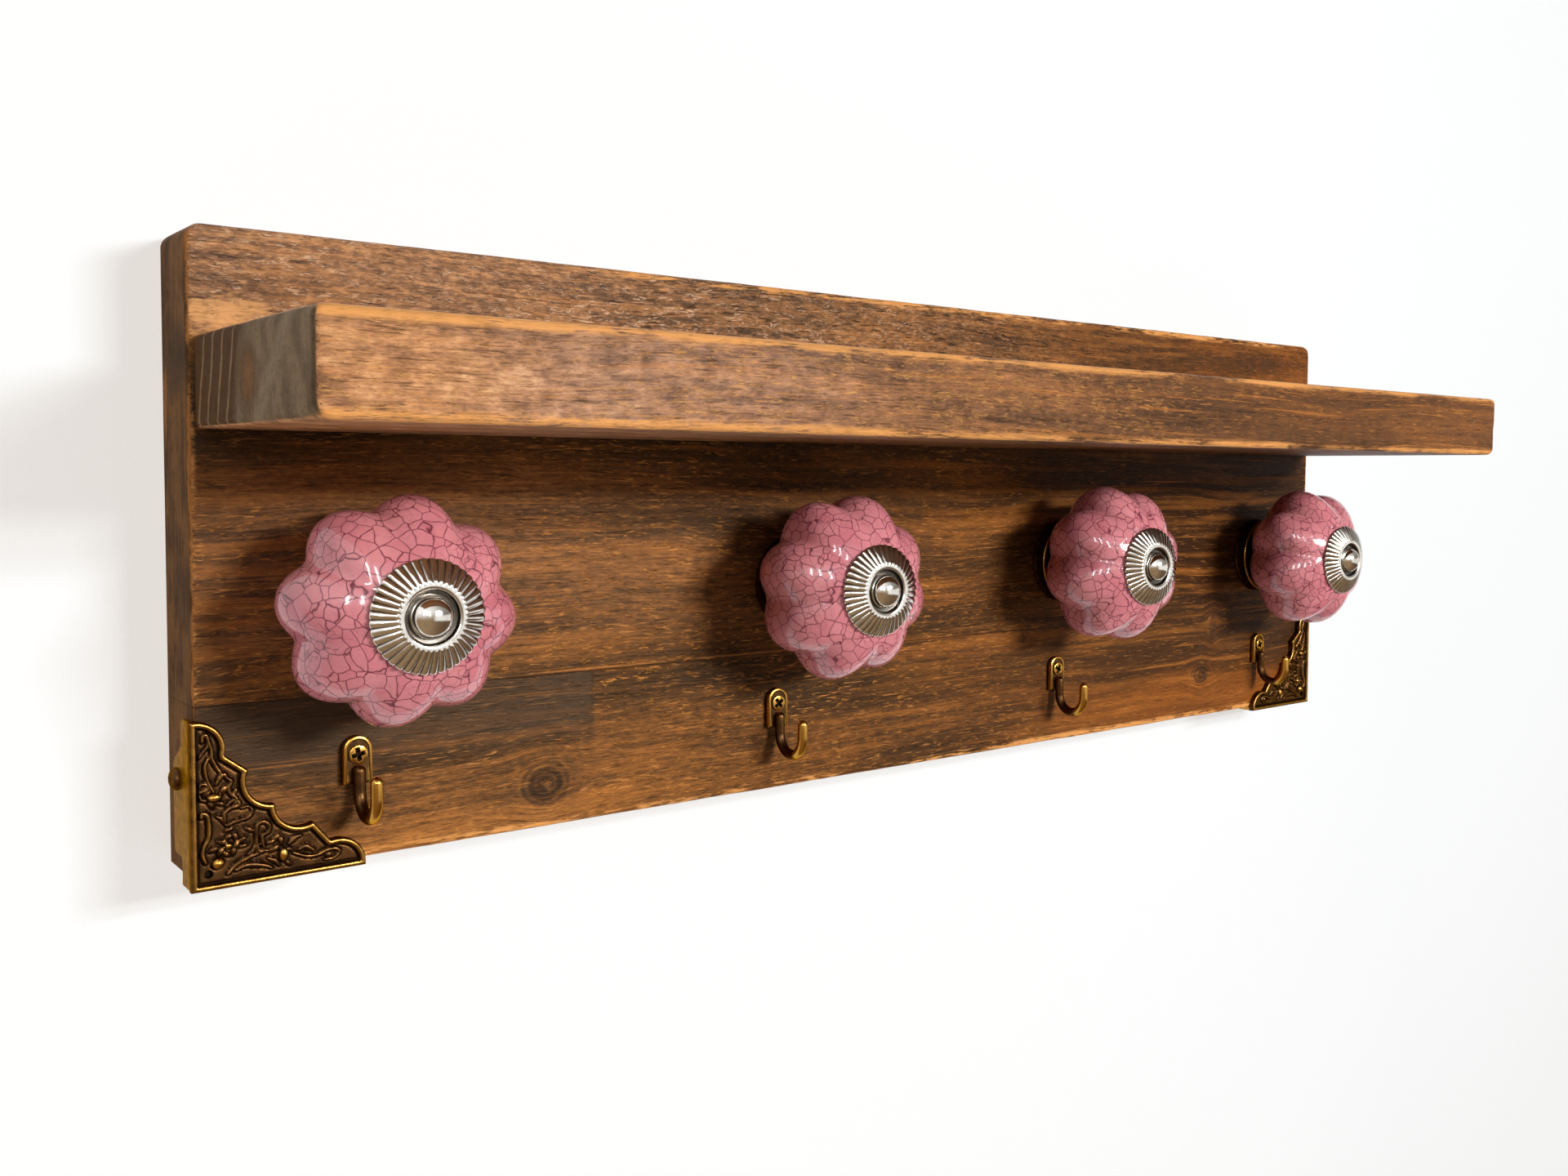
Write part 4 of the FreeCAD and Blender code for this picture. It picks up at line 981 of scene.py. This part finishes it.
def wire_form(x, z):
    """The J, with round ends."""
    path = [(3.4, TURN_OUT), (5.4, TURN_OUT), (TURN_DOWN, TURN_OUT)]
    path += [(TURN_DOWN + TURN_R * math.sin(t), TURN_OUT + TURN_R * (1 - math.cos(t)))
             for t in np.linspace(0.0, math.pi, 41)[1:]]
    path += [(TURN_DOWN - back, TURN_OUT + 2 * TURN_R) for back in (1.6, 3.2)]
    path = np.array(path)
    tangent = np.stack([np.gradient(path[:, 0]), np.gradient(path[:, 1])], axis=1)
    tangent /= np.linalg.norm(tangent, axis=1)[:, None]
    # stations along the wire: point of the path, push along it, radius
    last, around = len(path) - 1, 24
    stations = [(0, -WIRE_R * math.sin(t), WIRE_R * math.cos(t))
                for t in np.linspace(math.pi / 2, 0.0, 7)[:-1]]
    stations += [(i, 0.0, WIRE_R) for i in range(last + 1)]
    stations += [(last, WIRE_R * math.sin(t), WIRE_R * math.cos(t))
                 for t in np.linspace(0.0, math.pi / 2, 8)[1:]]
    rows = []
    for i, push, radius in stations:
        centre = path[i] + tangent[i] * push
        side = np.array([-tangent[i][1], tangent[i][0]])
        radius = max(radius, 0.02)
        row = []
        for j in range(around):
            a = 2 * math.pi * j / around
            down, out = centre + side * (radius * math.sin(a))
            row.append((x + radius * math.cos(a), FRONT - out, z - down))
        rows.append(row)
    return ring_mesh(rows)


def key_hook(number, x, z):
    """One casting: a round-topped plate with a rim, and a J that comes out of it and turns up."""
    hook = new_object("cast_hook_%d" % number, *plate_form(x, z))
    boolean(hook, new_object("wire", *wire_form(x, z)), "UNION")
    sink = [(0.0, -6.0), (1.1, -6.0), (1.1, -1.1), (1.9, 0.0), (2.0, 1.0), (0.0, 1.0)]
    boolean(hook, new_object("sink", *lathe(sink, 40, lambda r, a, h: out_point(x, z, r, a, HOOK_HEAD + h))),
            "DIFFERENCE")
    shade(hook, 40.0)
    p = points_mm(hook)
    high, across, up = FRONT - p[:, 1], p[:, 0] - x, p[:, 2] - z
    over = np.maximum(up - PLATE_ROUND, 0)
    edge = PLATE_HALF - np.where(over > 0, np.hypot(across, over), np.abs(across))
    on_plate = high < PLATE_THICK + 0.05
    rim = np.clip((0.70 - edge) / 0.12, 0, 1) * on_plate * (high > 0.8)
    tip = np.clip((high - 7.6) / 3.0, 0, 1)
    ring_gap = np.clip(1.0 - np.abs(np.hypot(across, up) - 2.05) / 0.25, 0, 1) * on_plate
    face = np.clip((edge - 0.64) / 0.12, 0, 1) * (high > 1.4) * (high < 1.60)
    shank = np.clip((6.5 - high) / 3.0, 0, 1) * (high > PLATE_THICK + 0.05)
    mark(hook, proud=np.maximum(rim * 1.1, tip * 0.95),
         hollow=np.maximum(ring_gap * 0.5, np.maximum(face * 0.15, shank * 0.13)))
    return hook


for number, (x, z) in enumerate(HOOKS, 1):
    stand(key_hook(number, x, z), BRONZE, "frame", "key_hook_%d" % number)


# Corner brackets

# the outline from the board's corner, in along the board and up it, with the radius and the side of each bow
OUTLINE = (((-SHEET, -SHEET), None), ((32.0, -SHEET), None), ((32.0, -0.4), (5.6, 1)), ((25.0, 5.2), None),
           ((21.6, 9.5), (5.1, -1)), ((14.3, 14.3), (5.1, -1)), ((9.5, 21.6), None), ((5.2, 25.0), (5.6, 1)),
           ((-0.4, 32.0), None), ((-SHEET, 32.0), None))
# a flange: along the leg, then in from the face
FLANGE = ((-1.05, 0.0), (31.9, 0.0), (31.95, 4.2), (31.2, 5.3), (26.8, 5.6), (25.4, 7.2), (23.4, 10.6),
          (22.0, 11.45), (6.0, 11.5), (4.8, 11.2), (4.5, 10.0), (4.4, 6.4), (3.8, 5.5), (-1.05, 5.5))
BEAD = 1.2
NAIL = np.array([2.1, 2.1])
# strands of the relief: height, width at start, middle and end, points in along the board and up it
STRANDS = (
    (0.42, (0.25, 0.34, 0.3),
     (0.5, 24.9), (1.2, 25.9), (2.0, 26.8), (2.3, 28.0), (1.9, 29.3), (1.3, 29.0), (1.2, 28.0)),
    (0.45, (0.25, 0.38, 0.3),
     (2.4, 27.8), (2.8, 26.4), (2.9, 24.7), (3.6, 23.0), (4.4, 21.6), (4.1, 20.6), (3.6, 19.5)),
    (0.45, (0.25, 0.36, 0.3), (2.2, 24.7), (1.6, 23.1), (1.8, 21.2), (2.4, 19.4), (3.1, 18.1)),
    (0.4, (0.3, 0.4, 0.3),
     (0.4, 19.0), (0.9, 19.8), (1.8, 19.6), (2.1, 18.8), (1.2, 18.4), (0.4, 18.0), (0.8, 16.9), (1.6, 16.5)),
    (0.45, (0.28, 0.42, 0.3),
     (4.2, 20.3), (5.0, 21.3), (5.5, 20.5), (6.3, 19.7), (5.8, 18.4), (6.2, 17.2), (7.2, 16.3), (6.9, 15.2)),
    (0.42, (0.3, 0.4, 0.3),
     (5.1, 12.1), (5.0, 13.5), (6.2, 14.5), (7.4, 14.7), (7.7, 15.3), (7.0, 16.0), (6.1, 15.7), (5.5, 15.0)),
    (0.38, (0.25, 0.36, 0.28),
     (8.2, 14.2), (9.5, 14.4), (10.1, 13.4), (9.5, 12.3), (8.2, 11.9), (6.9, 11.7), (5.6, 11.2)),
    (0.48, (0.4, 0.42, 0.36),
     (0.8, 13.4), (1.1, 14.1), (1.9, 13.6), (2.1, 12.3), (2.2, 10.7), (2.0, 8.9), (1.3, 7.6), (1.0, 5.9),
     (1.5, 4.4)),
    (0.42, (0.32, 0.4, 0.3),
     (10.7, 6.2), (10.8, 8.4), (11.0, 10.3), (12.1, 10.9), (13.2, 10.0), (13.1, 8.7), (12.0, 8.2),
     (11.9, 6.8), (12.2, 5.6)),
    (0.4, (0.28, 0.44, 0.28), (9.3, 4.9), (10.1, 5.4), (10.8, 6.5), (11.2, 5.2), (12.9, 5.0)),
    (0.45, (0.3, 0.42, 0.26),
     (17.8, 3.7), (20.0, 2.7), (22.2, 2.5), (24.2, 3.2), (25.8, 3.3), (26.7, 2.5), (25.8, 1.5), (23.8, 1.3)),
    (0.4, (0.3, 0.55, 0.25), (18.9, 4.2), (20.0, 4.6), (21.7, 3.6)),
    (0.4, (0.3, 0.55, 0.25), (16.9, 5.7), (18.2, 6.8), (19.2, 7.0)),
    (0.4, (0.3, 0.42, 0.25), (5.5, 1.6), (7.0, 3.1), (9.3, 4.2), (11.7, 4.8)),
    (0.4, (0.3, 0.5, 0.25), (7.0, 2.1), (9.0, 2.7), (12.2, 2.1), (13.6, 1.4)),
    (0.32, (0.25, 0.4, 0.2), (3.6, 13.2), (4.6, 12.4), (5.2, 11.2)),
    (0.36, (0.25, 0.45, 0.2), (13.0, 3.4), (14.3, 2.6), (15.0, 1.6)),
)
# petals, buds and bosses: centre, half length, half width, lean in degrees, height
PETALS = (
    (3.2, 16.95, 1.35, 0.75, 4, 0.72), (1.9, 17.9, 0.9, 0.45, 40, 0.42), (4.9, 18.3, 0.95, 0.5, 60, 0.45),
    (2.6, 15.6, 0.9, 0.45, -60, 0.40), (4.4, 15.6, 0.9, 0.45, -20, 0.42), (7.0, 17.6, 0.9, 0.4, 70, 0.4),
    (3.0, 6.8, 0.95, 0.5, 20, 0.5), (4.2, 6.3, 1.0, 0.5, 60, 0.55), (4.6, 8.0, 0.95, 0.5, -10, 0.5),
    (5.6, 8.9, 0.9, 0.5, 40, 0.5), (5.6, 7.2, 0.75, 0.6, 0, 0.72), (6.9, 8.8, 0.9, 0.45, 100, 0.5),
    (7.0, 7.2, 0.95, 0.45, 60, 0.55), (8.2, 8.0, 0.9, 0.45, 30, 0.5), (6.6, 6.0, 0.9, 0.45, 80, 0.5),
    (8.4, 6.7, 0.85, 0.4, 10, 0.45), (3.7, 4.0, 1.15, 1.0, 40, 0.95), (5.2, 5.6, 0.8, 0.45, -40, 0.5),
    (15.85, 3.75, 1.4, 0.85, 88, 0.75), (14.2, 5.2, 1.0, 0.5, 30, 0.45), (13.5, 6.6, 0.95, 0.45, 10, 0.45),
    (14.5, 7.4, 0.95, 0.45, 50, 0.45), (15.4, 6.6, 0.95, 0.45, 100, 0.45), (17.0, 4.6, 0.85, 0.4, -30, 0.4),
    (16.6, 2.0, 0.9, 0.4, -50, 0.36), (5.9, 10.3, 0.8, 0.35, 20, 0.34), (9.6, 9.7, 0.9, 0.4, -30, 0.32),
    (24.6, 2.2, 0.7, 0.4, 0, 0.3), (1.5, 22.4, 0.7, 0.3, 80, 0.3),
)


def bow(a, b, radius, turn):
    """Points of an arc from a up to b, bent to one side or the other."""
    a, b = np.array(a), np.array(b)
    chord = b - a
    across = np.array([-chord[1], chord[0]]) / np.linalg.norm(chord)
    centre = (a + b) / 2 + across * math.sqrt(max(radius ** 2 - (chord @ chord) / 4, 0.0)) * turn
    start = math.atan2(*(a - centre)[::-1])
    end = math.atan2(*(b - centre)[::-1])
    if (end - start) * turn < 0:
        end += 2 * math.pi * turn
    return [tuple(centre + radius * np.array([math.cos(t), math.sin(t)]))
            for t in np.linspace(start, end, 25)[:-1]]


def scallop():
    """The bracket's outline, counter-clockwise."""
    line = []
    for i, (corner, bend) in enumerate(OUTLINE):
        line += bow(corner, OUTLINE[i + 1][0], *bend) if bend else [corner]
    return np.array(line)


def spread(line, spacing, closed=True):
    """Points along a line at even steps."""
    pts = np.vstack([line, line[:1]]) if closed else np.asarray(line, float)
    length = np.concatenate([[0], np.cumsum(np.linalg.norm(np.diff(pts, axis=0), axis=1))])
    count = max(int(round(length[-1] / spacing)), 2)
    at = np.linspace(0, length[-1], count, endpoint=not closed)
    return np.stack([np.interp(at, length, pts[:, k]) for k in range(2)], axis=1)


def curve(points):
    """A smooth line through the points."""
    pts = np.asarray(points, float)
    ends = np.vstack([2 * pts[0] - pts[1], pts, 2 * pts[-1] - pts[-2]])
    t = np.linspace(0, 1, 14, endpoint=False)[:, None]
    out = []
    for p0, p1, p2, p3 in zip(ends, ends[1:], ends[2:], ends[3:]):
        out.append(0.5 * (2 * p1 + (p2 - p0) * t + (2 * p0 - 5 * p1 + 4 * p2 - p3) * t ** 2
                          + (3 * p1 - p0 - 3 * p2 + p3) * t ** 3))
    return spread(np.vstack([*out, pts[-1:]]), 0.08, False)


def nearest(points, line):
    """Each point's distance from a line of points, and the number of the nearest of them."""
    best, where = [], []
    for chunk in np.split(points, range(2000, len(points), 2000)):
        d = np.linalg.norm(chunk[:, None, :] - line[None, :, :], axis=2)
        where.append(d.argmin(1))
        best.append(d.min(1))
    return np.concatenate(best), np.concatenate(where)


def dome(reach):
    """1 at the middle of a form, round down to 0 where the reach is 1."""
    return np.sqrt(np.clip(1 - reach ** 2, 0, 1))


def relief(points, edge):
    """Height over the field at points of the face, and how dark the line round each form is."""
    forms = []
    for top, widths, *line in STRANDS:
        path = curve(line)
        d, where = nearest(points, path)
        width = 1.35 * np.interp(where / (len(path) - 1), (0.0, 0.5, 1.0), widths)
        forms.append((1.25 * top * dome(d / width), d - width))
    for cx, cy, long, wide, lean, top in PETALS:
        a = math.radians(lean)
        dx, dy = points[:, 0] - cx, points[:, 1] - cy
        along = (dx * math.cos(a) + dy * math.sin(a)) / (1.1 * long)
        across = (-dx * math.sin(a) + dy * math.cos(a)) / (1.15 * wide)
        fold = 1.0 - 0.22 * np.exp(-(across / 0.22) ** 2) * (top < 0.6)
        reach = np.sqrt(along ** 2 + across ** 2)
        forms.append((1.25 * top * dome(reach) * fold, (reach - 1) * wide))
    high = np.max([form for form, _ in forms], axis=0)
    line_round = np.max([np.clip(1 - np.abs(gap - 0.10) / 0.26, 0, 1) for _, gap in forms], axis=0)
    line_round *= np.clip(1 - high / 0.12, 0, 1)
    bead = 0.22 + 0.58 * dome((edge - 0.6) / 0.6)
    groove = -0.16 * np.exp(-((edge - 1.42) / 0.2) ** 2)
    field = high * np.clip((edge - BEAD) / 0.25, 0, 1) + groove - 0.08 * line_round
    return np.where(edge < BEAD, bead, field), line_round


def inside_ring(points, ring):
    """Which points lie inside a closed ring."""
    inside = np.zeros(len(points), bool)
    for (a0, b0), (a1, b1) in zip(ring, np.roll(ring, -1, axis=0)):
        cross = (b0 > points[:, 1]) != (b1 > points[:, 1])
        with np.errstate(divide="ignore", invalid="ignore"):
            at = (a1 - a0) * (points[:, 1] - b0) / (b1 - b0) + a0
        inside ^= cross & (points[:, 0] < at)
    return inside


def face_points(border, fine):
    """Points of the bracket's face: rows along its border, a grid, and rings round the nail hole."""
    sets = [border]
    inward = inward_normals(border)
    for inset in (0.05, 0.14, 0.3, 0.6, 0.9, 1.06, 1.16, 1.23, 1.4, 1.6):
        ring = border + inward * inset
        sets.append(ring[nearest(ring, fine)[0] > inset - 0.03])
    ticks = np.arange(-1.0, 32.0, 0.2)
    grid = np.stack(np.meshgrid(ticks, ticks), axis=2).reshape(-1, 2)
    grid[:, 0] += 0.1 * (np.round(grid[:, 1] / 0.2).astype(int) % 2)
    away = np.linalg.norm(grid - NAIL, axis=1)
    clear = (nearest(grid, fine)[0] > 1.7) & ((away > 0.95) | (away < 0.55))
    sets.append(grid[inside_ring(grid, border) & clear])
    t = np.linspace(0, 2 * math.pi, 28, endpoint=False)
    sets += [NAIL + radius * np.stack([np.cos(t), np.sin(t)], axis=1) for radius in (0.66, 0.75, 0.9)]
    return np.vstack(sets)


def bracket_face(side):
    """The pressed face with bead rim and relief, and its marks."""
    outer = scallop()
    border, fine = spread(outer, 0.25), spread(outer, 0.06)
    count = len(border)
    loop = [(i, (i + 1) % count) for i in range(count)]
    flat = [Vector(q) for q in face_points(border, fine)]
    pts, _, tris, origin, _, _ = delaunay_2d_cdt(flat, loop, [], 1, 1e-5)
    pts = np.array([tuple(q) for q in pts])
    at_border = {s: i for i, source in enumerate(origin) for s in source if s < count}
    front_ring = [at_border[s] for s in range(count)]
    edge, _ = nearest(pts, fine)
    edge[front_ring] = 0.0
    high, line_round = relief(pts, edge)
    pit = np.linalg.norm(pts - NAIL, axis=1)
    high = np.where(pit < 0.7, -0.95, high)
    grit = np.sin(pts[:, 0] * 9.1 + 1.7 * np.sin(pts[:, 1] * 4.3)) * np.sin(pts[:, 1] * 8.3)
    high = high + 0.012 * grit * (edge > BEAD + 0.1)

    def spot(u, v, h):
        return (side * (HALF_LONG - u), FRONT - h, v - HALF_HIGH)

    base = len(pts)
    verts = [spot(u, v, SHEET + h) for (u, v), h in zip(pts, high)]
    verts += [spot(*pts[i], 0.0) for i in front_ring]
    faces = [tuple(t) for t in tris]
    faces += [(front_ring[j], base + j, base + k, front_ring[k]) for j, k in loop]
    faces.append(tuple(base + j for j in range(count)))
    proud = np.where(edge < BEAD, np.clip((high - 0.34) / 0.62, 0, 0.68), np.clip((high - 0.30) / 0.55, 0, 1))
    hollow = np.exp(-((edge - 1.4) / 0.22) ** 2) * (edge >= BEAD)
    hollow = np.maximum(hollow, np.maximum(line_round * 0.5, 0.10 * (high < 0.1)) * (edge > BEAD))
    hollow = np.where(pit < 0.8, 1.0, hollow)
    face = new_object("face", verts, faces, 70.0)
    return face, np.concatenate([proud, np.full(count, 0.4)]), np.concatenate([hollow, np.zeros(count)])


def flange(lay):
    """A flange with eased edges, and its marks: lay turns (along, in from the face, out) into a point."""
    ring = np.array(FLANGE)
    run = np.roll(ring, -1, axis=0) - ring
    run /= np.linalg.norm(run, axis=1)[:, None]
    normal = np.stack([-run[:, 1], run[:, 0]], axis=1)
    both = normal + np.roll(normal, 1, axis=0)
    mitre = both / np.maximum((both * both).sum(axis=1), 0.4)[:, None] * 2
    rows = []
    for inset, out in ((0.0, 0.0), (0.0, 0.78), (0.1, 1.0), (0.32, 1.09)):
        q = ring + mitre * inset
        # the front edge runs on under the face
        q[ring[:, 1] < 0.01, 1] = -0.9
        rows.append([lay(along, deep, out) for along, deep in q])
    obj = new_object("flange", *ring_mesh(rows), 40.0)
    p = points_mm(obj)
    reach = np.maximum(np.abs(p[:, 0]) - HALF_LONG, -HALF_HIGH - p[:, 2])
    return obj, 0.57 + 0.33 * np.clip((1.07 - reach) / 0.3, 0, 1), np.zeros(len(p))


def bracket(side, name):
    """The pressed corner: its face, the flange round the end and the one under the board."""
    pieces, proud, hollow = zip(
        bracket_face(side),
        flange(lambda along, deep, out: (side * (HALF_LONG + out), FRONT + deep, along - HALF_HIGH)),
        flange(lambda along, deep, out: (side * (HALF_LONG - along), FRONT + deep, -HALF_HIGH - out)))
    whole = joined("pressed_bracket_" + name, pieces)
    mark(whole, proud=np.concatenate(proud), hollow=np.concatenate(hollow))
    shade(whole, 60.0)
    return whole


for side, name in ((-1, "left"), (1, "right")):
    stand(bracket(side, name), BRONZE, "frame", "corner_bracket_" + name)

# plain metal pieces keep their CAD shape
for name in ("knob_washers", "knob_nuts", "hanger_plate_left", "hanger_plate_right"):
    paint(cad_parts[name], STEEL)


# Wall, floor, light and camera

WALL_Y, FLOOR_Z, REACH = 0.0006, -0.62, 2.6


def stage_plane(name, corners, look):
    mesh = bpy.data.meshes.new(name)
    mesh.from_pydata(corners, [], [(0, 1, 2, 3)])
    obj = bpy.data.objects.new(name, mesh)
    bpy.context.scene.collection.objects.link(obj)
    paint(obj, look)
    return obj


def pale(g, colour, glow, strength):
    """A matt surface with a glow of its own."""
    grain = g.noise(g.place(), 0.55, 4, 0.6)
    matt = g.node("BsdfPrincipled", {"Base Color": colour, "Roughness": 0.9, "Specular IOR Level": 0.1,
                                     "Normal": g.bump(grain, 0.0003, 0.25)})
    return g.node("AddShader", {0: matt, 1: g.node("Emission", {0: glow, 1: strength})})


def wall_look():
    """White where it is seen, also in metal, and still with the object's shadow; clear from behind."""
    g = material("pale_wall")
    seen = g.high(g.high(g.ray("Camera"), g.ray("Glossy")), g.ray("Transmission"))
    far = g.node("MapRange", {"Value": g.parts(g.place())[0], "From Min": -300, "From Max": 300,
                              "To Min": 0.745, "To Max": 0.62})
    front = pale(g, (0.28, 0.325, 0.365, 1), (1.0, 0.94, 0.885, 1), seen * far)
    behind = g.node("NewGeometry", out="Backfacing")
    return g.finish(g.node("MixShader", {0: behind, 1: front, 2: g.node("BsdfTransparent")}))


def floor_look():
    """Never quite dark where it is seen."""
    g = material("pale_floor")
    return g.finish(pale(g, (0.80, 0.76, 0.70, 1), (1.0, 0.98, 0.95, 1), g.ray("Camera") * 0.28))


wall = stage_plane("wall", [(-REACH, WALL_Y, FLOOR_Z), (REACH, WALL_Y, FLOOR_Z), (REACH, WALL_Y, REACH),
                            (-REACH, WALL_Y, REACH)], wall_look())
wall.visible_shadow = False
floor = stage_plane("floor", [(-REACH, -REACH, FLOOR_Z), (REACH, -REACH, FLOOR_Z), (REACH, REACH, FLOOR_Z),
                              (-REACH, REACH, FLOOR_Z)], floor_look())
floor.visible_glossy = False


def lamp(name, at, aim, size, power, colour=(1.0, 1.0, 1.0), mirrored=True, lights=True):
    """A rectangle of light: unless mirrored it shows in no metal, unless it lights it shows only there."""
    light = bpy.data.lights.new(name, "AREA")
    light.shape = "RECTANGLE"
    light.size, light.size_y = size
    light.energy = power
    light.color = colour
    obj = bpy.data.objects.new(name, light)
    bpy.context.scene.collection.objects.link(obj)
    obj.location = at
    obj.visible_camera = False
    obj.visible_glossy = mirrored
    obj.visible_diffuse = lights
    obj.rotation_mode = "QUATERNION"
    obj.rotation_quaternion = (Vector(aim) - Vector(at)).to_track_quat("-Z", "Y")


for name, level in (("key_high", 0.315), ("key_low", 0.215)):
    lamp(name, (0.33, -1.05, level), (-0.02, -0.04, 0.0), (0.42, 0.06), 6.8, (1.0, 0.985, 0.96))
lamp("left_fill", (-1.10, -0.09, 0.03), (-0.12, -0.05, 0.0), (0.25, 0.34), 3.6, (1.0, 0.97, 0.93),
     mirrored=False)
for name, at, high, power in (("window_left", (-0.98, -1.08, 0.46), 0.40, 2.2),
                              ("window_right", (-0.74, -1.26, 0.46), 0.40, 2.2),
                              ("window_mid", (-0.42, -1.38, 0.34), 0.36, 2.0)):
    lamp(name, at, (-0.02, -0.03, 0.0), (0.06, high), power, lights=False)
lamp("rear_fill", (0.0, 1.2, 0.7), (0.0, 0.0, 0.0), (1.2, 0.8), 12.0)


def room():
    """Pale all round where it is seen, softer as a light, with a bright upper left for the metal to show."""
    g = Graph(bpy.data.worlds.new("soft_room"), "World")
    dx, dy, dz = g.parts(g.node("TexCoord", out="Generated"))
    upper = dz.step(-0.25, 0.45)
    shine = g.mix(upper, (0.34, 0.23, 0.13, 1), (1.15, 1.15, 1.15, 1))
    dim = g.mix(upper, (0.16, 0.10, 0.06, 1), (0.34, 0.33, 0.31, 1))
    # a pale strip across the room, level with the knobs
    strip = dz.step(-0.28, -0.20) * dz.step(0.12, 0.03) * dy.step(0.2, -0.2) * dx.step(0.0, 0.25)
    shine = g.layers(dim, ((dx.step(0.75, -0.35), shine), (strip, (1.0, 0.99, 0.97, 1))))
    soft = g.mix(upper, (0.055, 0.047, 0.038, 1), (0.045, 0.045, 0.045, 1))
    colour = g.layers(soft, ((g.ray("Glossy"), shine), (g.ray("Camera"), (0.94, 0.94, 0.93, 1))))
    return g.finish(g.node("Background", {0: colour, 1: 1.0}))


bpy.context.scene.world = room()

# the camera that took the photograph, in radians, metres and pixels of the photograph
AZIMUTH, PITCH, ROLL = 0.70289507, -0.04828932, -0.00784104
CAMERA_AT = (-0.2530547, -0.3127685, 0.0168677)
PHOTO_WIDE, PHOTO_HIGH = 1920.0, 1440.0
FOCAL, CENTRE_X, CENTRE_Y = 1706.422, 1104.6495, 663.0324
SENSOR = 36.0

forward = Vector((math.sin(AZIMUTH) * math.cos(PITCH), math.cos(AZIMUTH) * math.cos(PITCH), math.sin(PITCH)))
level_right = Vector((math.cos(AZIMUTH), -math.sin(AZIMUTH), 0.0))
down = -level_right.cross(forward)
right = math.cos(ROLL) * level_right + math.sin(ROLL) * down
down = -math.sin(ROLL) * level_right + math.cos(ROLL) * down
camera_data = bpy.data.cameras.new("camera")
camera_data.sensor_width = SENSOR
camera_data.lens = FOCAL / PHOTO_WIDE * SENSOR
camera_data.shift_x = (PHOTO_WIDE / 2 - CENTRE_X) / PHOTO_WIDE
camera_data.shift_y = (CENTRE_Y - PHOTO_HIGH / 2) / PHOTO_WIDE
camera_data.clip_start, camera_data.clip_end = 0.01, 20.0
camera = bpy.data.objects.new("camera", camera_data)
bpy.context.scene.collection.objects.link(camera)
turn = Matrix((right, -down, -forward)).transposed().to_4x4()
camera.matrix_world = Matrix.Translation(CAMERA_AT) @ turn
bpy.context.scene.camera = camera
bpy.context.scene.view_settings.view_transform = "Standard"
